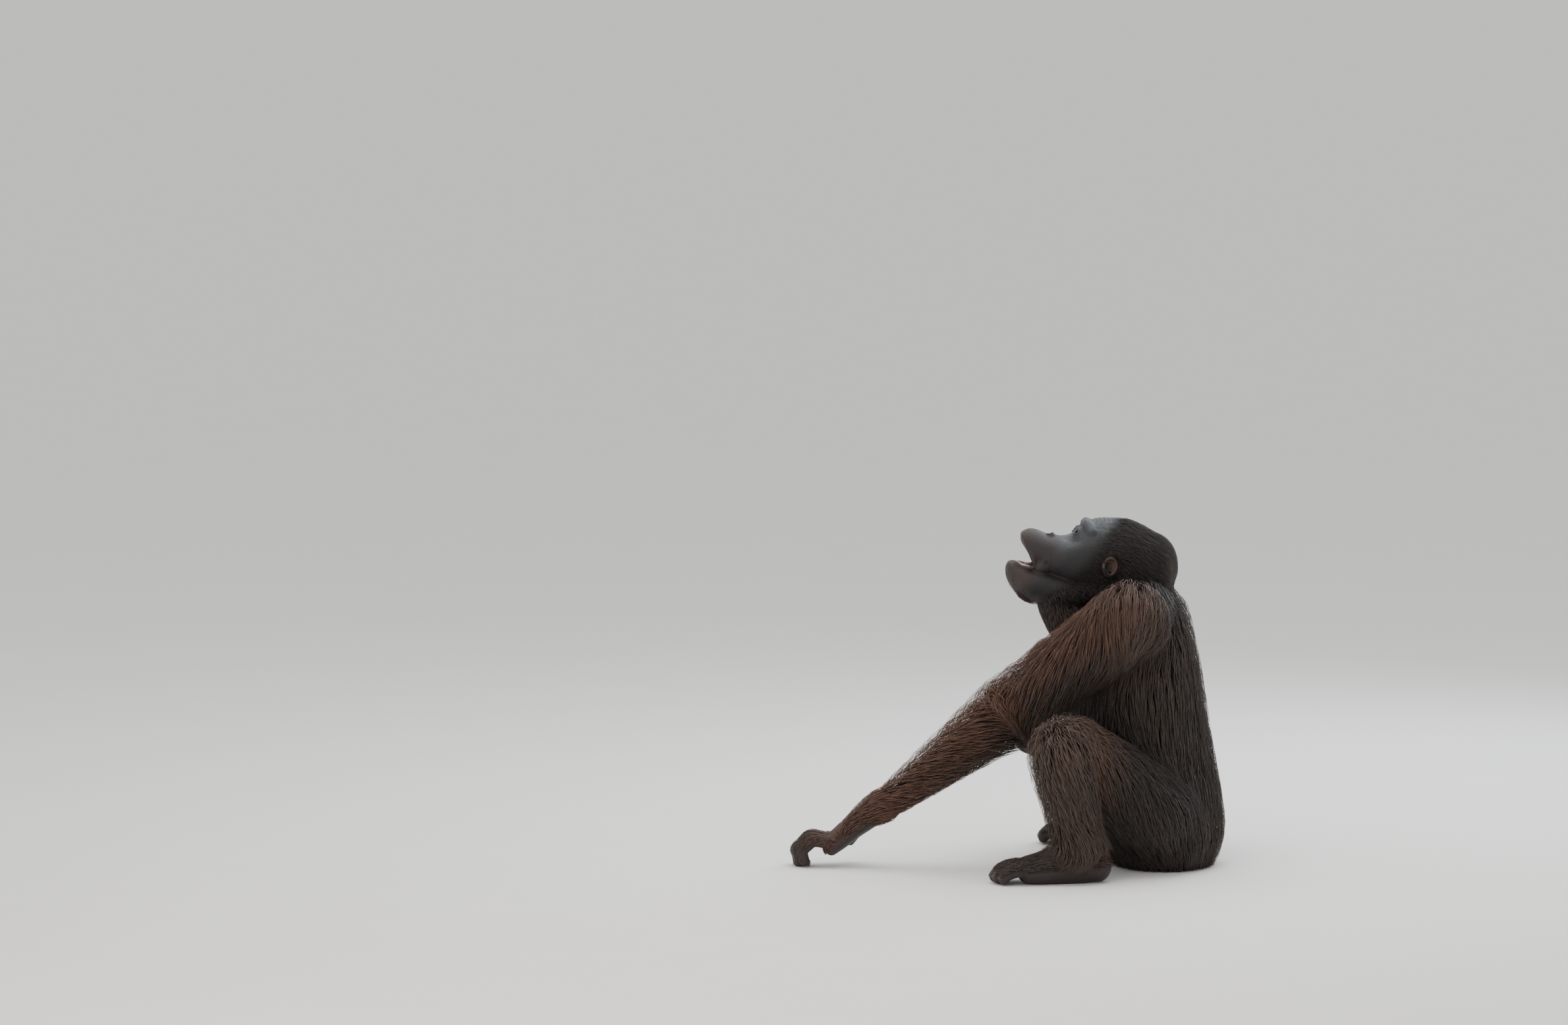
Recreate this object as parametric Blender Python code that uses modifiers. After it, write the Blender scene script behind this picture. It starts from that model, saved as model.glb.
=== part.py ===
# Orangutan seated on the floor: head tilted back, left arm reaching forward to the floor, knees up.
# Lengths are metres. Forward is -X, the animal's left is -Y, up is +Z, and the floor is at Z 0.
import math
import random

import bmesh
import bpy
import numpy as np
from mathutils import Matrix, Vector
from mathutils.bvhtree import BVHTree
from mathutils.kdtree import KDTree

LEFT, RIGHT = -1, 1
SIDE_NAMES = {LEFT: "left", RIGHT: "right"}

# Share of the coat's depth that the solid core fills. The rest is the reach of the hair's tips.
CORE_SHARE = 0.5
# Space between two solids that touch
GAP = 0.0003

# Triangles that each form keeps before its coat grows
TRIANGLES = {"torso": 1000, "head": 2050, "arm": 520, "leg": 520, "hand": 450, "foot": 450}

# Voxel sizes for fusing the forms of flesh, coarse on the trunk and fine where the detail is small
TRUNK_VOXEL = 0.006
LIMB_VOXEL = 0.0045
HEAD_VOXEL = 0.0022
DIGIT_VOXEL = 0.0022

# Joints of the skeleton
HIP = {LEFT: (0.165, -0.102, 0.105), RIGHT: (0.172, 0.102, 0.105)}
KNEE = {LEFT: (0.004, -0.215, 0.232), RIGHT: (0.062, 0.222, 0.206)}
ANKLE = {LEFT: (0.034, -0.235, 0.054), RIGHT: (0.130, 0.238, 0.052)}
SHOULDER = {LEFT: (0.128, -0.148, 0.437), RIGHT: (0.130, 0.148, 0.437)}
ELBOW = {LEFT: (-0.070, -0.088, 0.281), RIGHT: (0.213, 0.262, 0.215)}
WRIST = {LEFT: (-0.318, -0.035, 0.083), RIGHT: (-0.018, 0.142, 0.318)}

# Direction in which each foot points on the floor, and each hand from its wrist
FOOT_AHEAD = {LEFT: (-1.0, -0.10, 0.0), RIGHT: (-0.95, 0.30, 0.0)}
HAND_AHEAD = {LEFT: (-0.80, 0.06, -0.60), RIGHT: (-0.50, -0.10, -0.86)}
HAND_BACK = {LEFT: (-0.58, -0.05, 0.80), RIGHT: (-0.85, -0.05, 0.50)}

# Turns in degrees at a finger's three knuckles, towards the palm
HAND_BEND = {LEFT: (-46, 50, 60), RIGHT: (18, 42, 34)}
# Sideways place on the hand, length and radius of each finger, and the same of each small toe
FINGERS = [
    (0.0270, 0.092, 0.0096),
    (0.0095, 0.100, 0.0100),
    (-0.0090, 0.096, 0.0098),
    (-0.0260, 0.082, 0.0090),
]
TOES = [
    (0.0260, 0.066, 0.0104),
    (0.0085, 0.072, 0.0106),
    (-0.0095, 0.069, 0.0104),
    (-0.0270, 0.060, 0.0098),
]
# The foot parts from the shin this far below the ankle joint
ANKLE_CUT_DROP = 0.004

EYE_RADIUS = 0.0112
EYE_PLACE = (0.0440, 0.0215, 0.5670)
EYE_LOOK = (-0.78, 0.16, 0.60)
LID_THICKNESS = 0.0022

EAR_PLACE = (0.091, 0.0665, 0.517)
EAR_HALF_HEIGHT = 0.0175
EAR_HALF_WIDTH = 0.0140

MOUTH_CORNER = (-0.031, 0.5120)
# Place where the head parts from the neck, on a plane that rises towards the nape
NECK_CUT = (-0.020, 0, 0.4250)

# The coat's locks are drawn with a fixed seed
COAT_SEED = 7
DOWN = Vector((0, 0, -1))
# Middle of the small beard under the chin, and how far it spreads
CHIN = (-0.052, 0, 0.456)
BEARD_REACH = 0.024
# Lowest place of a root on the trunk and limbs, and on the shins, which must clear the feet
LOWEST_ROOT = 0.035
LOWEST_SHIN_ROOT = 0.095
# Spacing of the roots, shortest and longest lock, its half width, and its rise at the tip
COATS = {
    "torso": (0.064, 0.100, 0.135, 0.026, 0.013),
    "neck": (0.036, 0.045, 0.065, 0.015, 0.009),
    "head": (0.016, 0.018, 0.026, 0.008, 0.006),
    "upper_arm": (0.055, 0.085, 0.115, 0.021, 0.012),
    "forearm": (0.047, 0.060, 0.085, 0.017, 0.009),
    "thigh": (0.056, 0.075, 0.105, 0.020, 0.011),
    "shin": (0.047, 0.060, 0.080, 0.017, 0.011),
}
# A lock from root to tip: share of its length, half width share and thickness at its ridge
LOCK_RINGS = [
    (0.00, 0.60, 0.0050),
    (0.30, 0.95, 0.0056),
    (0.66, 0.95, 0.0044),
    (1.00, 0.10, 0.0010),
]
# Depth of a root below the surface, as a share of the lock's rise
ROOT_DEPTH = 0.55
# How far a lock's edges curl down towards the body, as a share of its half width
EDGE_CURL = 0.15
# How steeply a lock may leave the surface where it hangs from an underside
LOCK_LIFT = 0.15
# Most that a lock turns aside over its length, in radians
LOCK_TURN = 0.22
# How far a lock's direction strays from the lie
LOCK_STRAY = 0.12
LOCK_STEP = 0.004
# Places tried for each root that the spacing leaves room for
TRIES_PER_ROOT = 16
# Upright share of the normal above which a place counts as the upper side of a limb
TOP_NORMAL = 0.7
# Longest step, as a multiple of the usual one, before a lock counts as kinked
KINK = 2.0
# Shares of a lock's full size to try where others are in its way
LOCK_SHARES = (1.0, 0.8, 0.62)
# Points nearer than this are one, and how many locks a node may lose to a clean surface
WELD = 0.000001
MENDS = 8
# Rounds of moving a lock off the nodes under it, and how near those are to count
BENDS = 4
NEAR_BY = 0.02
# Room that a lock's underside takes below its run
LOCK_BELLY = 0.0032
# Least room between a lock and another node, and between a root and another node
LOCK_ROOM = 0.0009
ROOT_ROOM = 0.006

COLOURS = {
    "coat": ((0.060, 0.022, 0.014, 1.0), 0.75),
    "coat_red": ((0.115, 0.038, 0.020, 1.0), 0.72),
    "face_skin": ((0.040, 0.031, 0.030, 1.0), 0.55),
    "hand_skin": ((0.030, 0.022, 0.021, 1.0), 0.60),
    "eye": ((0.020, 0.010, 0.006, 1.0), 0.12),
    "tongue": ((0.300, 0.085, 0.085, 1.0), 0.40),
}

for old_object in list(bpy.data.objects):
    bpy.data.objects.remove(old_object, do_unlink=True)

ORANGUTAN = bpy.data.collections.new("orangutan")
bpy.context.scene.collection.children.link(ORANGUTAN)


def mesh_object(name, points, faces):
    mesh = bpy.data.meshes.new(name)
    mesh.from_pydata([tuple(p) for p in points], [], faces)
    mesh.update()
    made = bpy.data.objects.new(name, mesh)
    ORANGUTAN.objects.link(made)
    return made


def discard(made):
    mesh = made.data
    bpy.data.objects.remove(made, do_unlink=True)
    bpy.data.meshes.remove(mesh)


def apply_modifiers(made):
    graph = bpy.context.evaluated_depsgraph_get()
    finished = bpy.data.meshes.new_from_object(made.evaluated_get(graph))
    made.modifiers.clear()
    raw = made.data
    made.data = finished
    bpy.data.meshes.remove(raw)


def edit(made):
    opened = bmesh.new()
    opened.from_mesh(made.data)
    return opened


def close(opened, made):
    opened.to_mesh(made.data)
    opened.free()
    made.data.update()


def smooth_rows(rows, steps):
    # Rows between the given ones, along a Catmull-Rom curve
    rows = np.asarray(rows, float)
    padded = np.vstack([2 * rows[0] - rows[1], rows, 2 * rows[-1] - rows[-2]])
    result = []
    for index in range(len(rows) - 1):
        before, start, end, after = padded[index : index + 4]
        for step in range(steps):
            t = step / steps
            linear = (end - before) * t
            square = (2 * before - 5 * start + 4 * end - after) * t**2
            cube = (3 * start - before - 3 * end + after) * t**3
            result.append(0.5 * (2 * start + linear + square + cube))
    result.append(rows[-1])
    return np.array(result)


def tube(stations, side=(0, 1, 0), up=None, sides=24, steps=5):
    # Closed round-ended form through stations of x, y, z, half width along the side and half height.
    # Its rings stand square to its run, or upright where an up direction is given.
    rows = smooth_rows(stations, steps)
    centres = rows[:, :3]
    runs = np.gradient(centres, axis=0)
    rings = []
    for index, run in enumerate(runs):
        run = Vector(run).normalized()
        across = Vector(side)
        across = (across - run * across.dot(run)).normalized()
        rise = Vector(up) if up else run.cross(across).normalized()
        rings.append([Vector(centres[index]), run, across, rise, rows[index, 3], rows[index, 4]])

    def cap(ring, sign):
        centre, run, across, rise, half_width, half_height = ring
        reach = 0.8 * min(half_width, half_height)
        rounded = []
        for angle in (25, 50, 75):
            shrink = math.cos(math.radians(angle))
            out = sign * reach * math.sin(math.radians(angle))
            place = centre + run * out
            rounded.append([place, run, across, rise, half_width * shrink, half_height * shrink])
        return rounded

    rings = cap(rings[0], -1)[::-1] + rings + cap(rings[-1], 1)
    points = []
    for centre, _, across, rise, half_width, half_height in rings:
        for index in range(sides):
            angle = math.tau * index / sides
            points.append(
                centre
                + across * (math.cos(angle) * half_width)
                + rise * (math.sin(angle) * half_height)
            )
    faces = []
    for ring in range(len(rings) - 1):
        for index in range(sides):
            here = ring * sides + index
            beside = ring * sides + (index + 1) % sides
            faces.append((here, beside, beside + sides, here + sides))
    last = (len(rings) - 1) * sides
    faces.append(tuple(reversed(range(sides))))
    faces.append(tuple(range(last, last + sides)))
    made = mesh_object("form", points, faces)
    opened = edit(made)
    bmesh.ops.recalc_face_normals(opened, faces=opened.faces)
    close(opened, made)
    return made


def ball(centre, half_sizes, turn=None, segments=20):
    # Ellipsoid with its half sizes along its own axes, turned by a matrix
    opened = bmesh.new()
    bmesh.ops.create_uvsphere(opened, u_segments=segments, v_segments=segments * 2 // 3, radius=1.0)
    place = Matrix.Translation(Vector(centre))
    if turn is not None:
        place = place @ turn.to_4x4()
    place = place @ Matrix.Diagonal((*half_sizes, 1.0))
    bmesh.ops.transform(opened, matrix=place, verts=opened.verts)
    made = mesh_object("form", [], [])
    close(opened, made)
    return made


def hairy(stations):
    # Stations that also state a coat depth, brought in to the core that the solid keeps
    rows = []
    for x, y, z, half_width, half_height, coat in stations:
        inward = coat * (1.0 - CORE_SHARE)
        rows.append((x, y, z, half_width - inward, half_height - inward))
    return rows


def along(start, end, share):
    return tuple(a + (b - a) * share for a, b in zip(start, end))


def triangle_count(made):
    return sum(len(face.vertices) - 2 for face in made.data.polygons)


def fuse(forms, voxel, smoothing):
    # One closed skin over all the forms, with soft creases where they meet
    opened = bmesh.new()
    for form in forms:
        opened.from_mesh(form.data)
        discard(form)
    made = mesh_object("flesh", [], [])
    close(opened, made)
    remesh = made.modifiers.new("fuse", "REMESH")
    remesh.mode = "VOXEL"
    remesh.voxel_size = voxel
    relax = made.modifiers.new("relax", "SMOOTH")
    relax.factor = 0.5
    relax.iterations = smoothing
    apply_modifiers(made)
    return made


def simplify(made, triangles):
    count = triangle_count(made)
    if count <= triangles:
        return
    reduce = made.modifiers.new("reduce", "DECIMATE")
    reduce.ratio = triangles / count
    apply_modifiers(made)


def nudge(made, centre, reach, move):
    # Pushes the surface near a place, most at its middle and not at all past about twice its reach
    count = len(made.data.vertices)
    flat = np.empty(count * 3)
    made.data.vertices.foreach_get("co", flat)
    points = flat.reshape(-1, 3)
    distance = np.linalg.norm(points - np.array(centre), axis=1)
    weight = np.exp(-((distance / reach) ** 2))
    points += weight[:, None] * np.array(move)
    made.data.vertices.foreach_set("co", points.ravel())
    made.data.update()


def relax_near(made, centre, reach, rounds):
    # Evens out the surface near a place by drawing each point towards its neighbours' middle
    opened = edit(made)
    middle = Vector(centre)
    near = [vertex for vertex in opened.verts if (vertex.co - middle).length < reach]
    for _ in range(rounds):
        goals = []
        for vertex in near:
            links = vertex.link_edges
            mean = sum((link.other_vert(vertex).co for link in links), Vector()) / len(links)
            strength = 0.6 * (1.0 - (vertex.co - middle).length / reach)
            goals.append(vertex.co.lerp(mean, max(strength, 0.0)))
        for vertex, goal in zip(near, goals):
            vertex.co = goal
    close(opened, made)


def nudge_pair(made, centre, reach, move):
    for side in (LEFT, RIGHT):
        place = (centre[0], side * centre[1], centre[2])
        nudge(made, place, reach, (move[0], side * move[1], move[2]))


def keep_largest(made):
    # Drops every closed surface but the largest
    opened = edit(made)
    opened.verts.ensure_lookup_table()
    unseen = set(opened.verts)
    groups = []
    while unseen:
        queue = [unseen.pop()]
        group = []
        while queue:
            vertex = queue.pop()
            group.append(vertex)
            for link in vertex.link_edges:
                other = link.other_vert(vertex)
                if other in unseen:
                    unseen.remove(other)
                    queue.append(other)
        groups.append(group)
    groups.sort(key=len)
    for group in groups[:-1]:
        bmesh.ops.delete(opened, geom=group, context="VERTS")
    close(opened, made)


def cut(made, place, outward):
    # Cuts off what lies on the outward side of a plane and closes the cut with a flat face
    opened = edit(made)
    everything = opened.verts[:] + opened.edges[:] + opened.faces[:]
    bmesh.ops.bisect_plane(
        opened,
        geom=everything,
        dist=1e-7,
        plane_co=place,
        plane_no=outward,
        clear_outer=True,
    )
    rim = [edge for edge in opened.edges if edge.is_boundary]
    bmesh.ops.holes_fill(opened, edges=rim, sides=0)
    close(opened, made)
    keep_largest(made)


def stand(made):
    # Flattens on the floor what would reach below it
    cut(made, (0, 0, 0), (0, 0, -1))


def copy_of(made):
    twin = bpy.data.objects.new(made.name + "_copy", made.data.copy())
    ORANGUTAN.objects.link(twin)
    return twin


def swollen(made, amount=GAP):
    # Copy whose surface stands off the original by a small amount
    twin = copy_of(made)
    count = len(twin.data.vertices)
    places = np.empty(count * 3)
    normals = np.empty(count * 3)
    twin.data.vertices.foreach_get("co", places)
    twin.data.vertices.foreach_get("normal", normals)
    twin.data.vertices.foreach_set("co", places + normals * amount)
    twin.data.update()
    return twin


def combine(made, other, operation):
    joint = made.modifiers.new(operation.lower(), "BOOLEAN")
    joint.operation = operation
    joint.solver = "EXACT"
    joint.object = other
    apply_modifiers(made)
    discard(other)
    keep_largest(made)


def clear_of(made, neighbour):
    combine(made, swollen(neighbour), "DIFFERENCE")


def crossing(made, other):
    trees = []
    for one in (made, other):
        opened = edit(one)
        trees.append(BVHTree.FromBMesh(opened))
        opened.free()
    return bool(trees[0].overlap(trees[1]))


def clear_all(nodes):
    # Each node gives way to those before it where they would cross, with more room at each try
    for index, made in enumerate(nodes):
        for earlier in nodes[:index]:
            for room in (1.0, 1.5, 2.0):
                if crossing(made, earlier):
                    combine(made, swollen(earlier, GAP * room), "DIFFERENCE")


def tree_of(made):
    opened = edit(made)
    tree = BVHTree.FromBMesh(opened)
    opened.free()
    return tree


def unit(start, end):
    return (Vector(end) - Vector(start)).normalized()


def coat_lie(region, side, place):
    # Direction in which the hair lies at a place
    if region == "torso":
        return Vector((0.10, 2.0 * place.y, -1.0))
    if region == "neck":
        return Vector((0.35, place.y, -1.0))
    if region == "head":
        return Vector((-0.5, 0, -1.0))
    if region == "upper_arm":
        return unit(SHOULDER[side], ELBOW[side]) * 0.6 + DOWN
    if region == "forearm":
        return unit(WRIST[side], ELBOW[side]) + DOWN * 0.5
    if region == "thigh":
        return unit(KNEE[side], HIP[side]) * 0.6 + DOWN
    return unit(KNEE[side], ANKLE[side]) + Vector((0.25, 0, 0))


def takes_root(region, place, normal):
    # Whether long hair grows at a place. On the head it is only the small beard under the chin.
    if region == "head":
        return (place - Vector(CHIN)).length < BEARD_REACH and normal.z < 0.1
    if region == "shin":
        return place.z > LOWEST_SHIN_ROOT
    return place.z > LOWEST_ROOT


def possible_roots(made, draw, spacing, allowed):
    # Places drawn evenly over a node's surface, those on its upper side first
    mesh = made.data
    mesh.calc_loop_triangles()
    triangles = [[mesh.vertices[i].co for i in t.vertices] for t in mesh.loop_triangles]
    areas = [((b - a).cross(c - a)).length / 2 for a, b, c in triangles]
    tries = int(TRIES_PER_ROOT * sum(areas) / spacing**2)
    places = []
    for a, b, c in draw.choices(triangles, weights=areas, k=tries):
        u, v = sorted((draw.random(), draw.random()))
        place = a * u + b * (v - u) + c * (1 - v)
        normal = (b - a).cross(c - a).normalized()
        if allowed(place, normal):
            places.append((place, normal))
    places.sort(key=lambda found: found[1].z < TOP_NORMAL)
    return places


def lock_path(tree, root, normal, lie, length, rise, turn):
    # Run of a lock over the surface, from its root along the lie of the coat
    path = [(root.copy(), normal.copy())]
    place = root.copy()
    steps = max(4, round(length / LOCK_STEP))
    for step in range(1, steps + 1):
        share = step / steps
        _, out, _, _ = tree.find_nearest(place)
        flat = (lie - out * lie.dot(out)).normalized()
        flat = Matrix.Rotation(turn * share, 3, out) @ flat
        lift = min(max(lie.dot(out), 0.0), LOCK_LIFT) * (0.3 + share)
        place = place + (flat + out * lift).normalized() * LOCK_STEP
        near, out, _, _ = tree.find_nearest(place)
        least = rise * share
        if (place - near).dot(out) < least:
            place = near + out * least
        path.append((place.copy(), out.copy()))
    return path


def lock_mesh(path, half_width, rise, extra=0.0):
    # Flat, tapered lock of three-cornered rings along a path, its root sunk below the surface
    points = []
    last = len(path) - 1
    for index_share, width_share, thickness in LOCK_RINGS:
        index = round(index_share * last)
        place, out = path[index]
        ahead = path[min(index + 1, last)][0] - path[max(index - 1, 0)][0]
        across = ahead.cross(out).normalized()
        over = across.cross(ahead).normalized()
        if over.dot(out) < 0:
            over = -over
        if index == 0:
            place = place - out * (ROOT_DEPTH * rise)
        half = half_width * width_share + extra
        low = half_width * width_share * EDGE_CURL + extra
        points += [
            place + across * half - over * low,
            place + over * (thickness + extra),
            place - across * half - over * low,
        ]
    faces = [(2, 1, 0)]
    for ring in range(len(LOCK_RINGS) - 1):
        for corner in range(3):
            here = ring * 3 + corner
            beside = ring * 3 + (corner + 1) % 3
            faces.append((here, beside, beside + 3, here + 3))
    end = (len(LOCK_RINGS) - 1) * 3
    faces.append((end, end + 1, end + 2))
    return points, faces


def bend_clear(path, trees):
    # Moves a lock's run out of the way of the nodes that it passes over, in a soft rise
    room = LOCK_BELLY + 3 * LOCK_ROOM
    places = [place for place, _ in path]
    for bend in range(BENDS):
        if bend:
            inner = zip(places, places[1:], places[2:])
            middles = [(before + place * 2 + after) / 4 for before, place, after in inner]
            places = places[:1] + middles + places[-1:]
        for index in range(1, len(places)):
            for tree in trees:
                near, away, _, distance = tree.find_nearest(places[index])
                if distance < NEAR_BY and (places[index] - near).dot(away) < room:
                    places[index] = near + away * room
    return [(place, out) for place, (_, out) in zip(places, path)]


def kinked(path):
    places = [place for place, _ in path]
    steps = [(after - before).length for before, after in zip(places[1:], places[2:])]
    return max(steps) > KINK * LOCK_STEP


def clear_lock(path, half_width, rise, trees):
    # The lock's points and faces where it stays clear of all the trees and the floor, else nothing
    points, faces = lock_mesh(path, half_width, rise, LOCK_ROOM)
    if min(point.z for point in points) < 0:
        return None
    probe = BVHTree.FromPolygons(points, faces)
    if any(tree.overlap(probe) for tree in trees):
        return None
    return lock_mesh(path, half_width, rise)


def fitting_lock(root, normal, draw, region, side, own, in_the_way, under):
    # Points and faces of a lock at a root, smaller where its full size would cross something
    _, shortest, longest, usual_half_width, usual_rise = COATS[region]
    length = draw.uniform(shortest, longest)
    half_width = usual_half_width * draw.uniform(0.85, 1.15)
    rise = usual_rise * draw.uniform(0.75, 1.05)
    stray = Vector([draw.uniform(-LOCK_STRAY, LOCK_STRAY) for _ in range(3)])
    lie = (coat_lie(region, side, root) + stray).normalized()
    turn = draw.uniform(-LOCK_TURN, LOCK_TURN)
    for share in LOCK_SHARES:
        path = lock_path(own, root, normal, lie, length * share, rise, turn)
        path = bend_clear(path, under)
        if kinked(path):
            continue
        shape = clear_lock(path, half_width * share, rise, in_the_way)
        if shape:
            return shape
    return None


def triangulate(made):
    opened = edit(made)
    bmesh.ops.triangulate(opened, faces=opened.faces)
    close(opened, made)


def dress(made, region, side, draw, others, lock_trees):
    # Grows a node's locks and fuses them with it in one union
    triangulate(made)
    own = tree_of(made)
    neighbours = [tree_of(other) for other in others]
    in_the_way = neighbours + lock_trees
    spacing = COATS[region][0]

    def free_root(place, normal):
        if not takes_root(region, place, normal):
            return False
        return all(tree.find_nearest(place)[3] > ROOT_ROOM for tree in neighbours)

    shapes = []
    roots = []
    for root, normal in possible_roots(made, draw, spacing, free_root):
        if any((root - other).length < spacing for other in roots):
            continue
        shape = fitting_lock(root, normal, draw, region, side, own, in_the_way, neighbours)
        if shape:
            roots.append(root)
            shapes.append(shape)
    grown = with_locks(made, shapes)
    for _ in range(MENDS):
        place = flaw(grown)
        if place is None:
            break
        # A lock that makes the surface touch itself is left out
        nearest = min(shapes, key=lambda shape: min((point - place).length for point in shape[0]))
        shapes.remove(nearest)
        discard(grown)
        grown = with_locks(made, shapes)
    core = made.data
    made.data = grown.data
    bpy.data.objects.remove(grown, do_unlink=True)
    bpy.data.meshes.remove(core)
    all_points, all_faces = [], []
    for points, faces in shapes:
        start = len(all_points)
        all_points += points
        all_faces += [tuple(i + start for i in face) for face in faces]
    lock_trees.append(BVHTree.FromPolygons(all_points, all_faces))


def with_locks(made, shapes):
    # Copy of a node with its locks fused in by one union
    grown = copy_of(made)
    group = bpy.data.collections.new("locks")
    bpy.context.scene.collection.children.link(group)
    for points, faces in shapes:
        lock = mesh_object("lock", points, faces)
        opened = edit(lock)
        bmesh.ops.recalc_face_normals(opened, faces=opened.faces)
        close(opened, lock)
        triangulate(lock)
        ORANGUTAN.objects.unlink(lock)
        group.objects.link(lock)
    joint = grown.modifiers.new("locks", "BOOLEAN")
    joint.operation = "UNION"
    joint.solver = "EXACT"
    joint.operand_type = "COLLECTION"
    joint.collection = group
    apply_modifiers(grown)
    for lock in list(group.objects):
        discard(lock)
    bpy.data.collections.remove(group)
    keep_largest(grown)
    triangulate(grown)
    return grown


def flaw(made):
    # A place where a surface is open or touches or crosses itself, or nothing
    opened = edit(made)
    opened.verts.ensure_lookup_table()
    opened.faces.ensure_lookup_table()
    place = None
    for edge in opened.edges:
        if len(edge.link_faces) != 2 or not edge.is_contiguous:
            place = edge.verts[0].co.copy()
            break
    if place is None:
        tree = BVHTree.FromBMesh(opened)
        for first, second in tree.overlap(tree):
            corners = set(opened.faces[first].verts)
            if first < second and not corners.intersection(opened.faces[second].verts):
                place = opened.faces[first].calc_center_median()
                break
    if place is None:
        near = KDTree(len(opened.verts))
        for vertex in opened.verts:
            near.insert(vertex.co, vertex.index)
        near.balance()
        for vertex in opened.verts:
            if len(near.find_range(vertex.co, WELD)) > 1:
                place = vertex.co.copy()
                break
    if place is None:
        for vertex in opened.verts:
            if not vertex.is_manifold:
                place = vertex.co.copy()
                break
    opened.free()
    return place


def finish(made, name, material):
    made.name = name
    made.data.name = name
    made.data.materials.clear()
    made.data.materials.append(MATERIALS[material])
    made.data.shade_smooth()
    made.data.set_sharp_from_angle(angle=math.radians(50))


def make_materials():
    result = {}
    for name, (colour, roughness) in COLOURS.items():
        material = bpy.data.materials.new(name)
        material.use_nodes = True
        shader = material.node_tree.nodes["Principled BSDF"]
        shader.inputs["Base Color"].default_value = colour
        shader.inputs["Roughness"].default_value = roughness
        shader.inputs["Metallic"].default_value = 0.0
        material.diffuse_color = colour
        result[name] = material
    return result


def make_torso():
    # Barrel of the body from the seat to the base of the neck, with the shoulders' slope and the belly
    barrel = hairy(
        [
            (0.190, 0, 0.010, 0.104, 0.074, 0.004),
            (0.184, 0, 0.055, 0.136, 0.104, 0.014),
            (0.166, 0, 0.130, 0.150, 0.120, 0.024),
            (0.150, 0, 0.220, 0.150, 0.120, 0.026),
            (0.141, 0, 0.310, 0.146, 0.114, 0.026),
            (0.140, 0, 0.385, 0.136, 0.102, 0.026),
            (0.147, 0, 0.435, 0.112, 0.084, 0.024),
            (0.150, 0, 0.468, 0.082, 0.062, 0.022),
        ]
    )
    shoulder_girdle = hairy(
        [
            (0.136, -0.104, 0.436, 0.060, 0.056, 0.022),
            (0.148, -0.060, 0.450, 0.058, 0.052, 0.022),
            (0.150, 0.000, 0.458, 0.056, 0.050, 0.022),
            (0.148, 0.060, 0.450, 0.058, 0.052, 0.022),
            (0.138, 0.104, 0.436, 0.060, 0.056, 0.022),
        ]
    )
    forms = [
        tube(barrel, sides=32),
        tube(shoulder_girdle, side=(1, 0, 0)),
    ]
    torso = fuse(forms, TRUNK_VOXEL, smoothing=6)
    nudge(torso, (0.035, 0, 0.130), 0.09, (-0.012, 0, 0.004))
    simplify(torso, TRIANGLES["torso"])
    stand(torso)
    return torso


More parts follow.
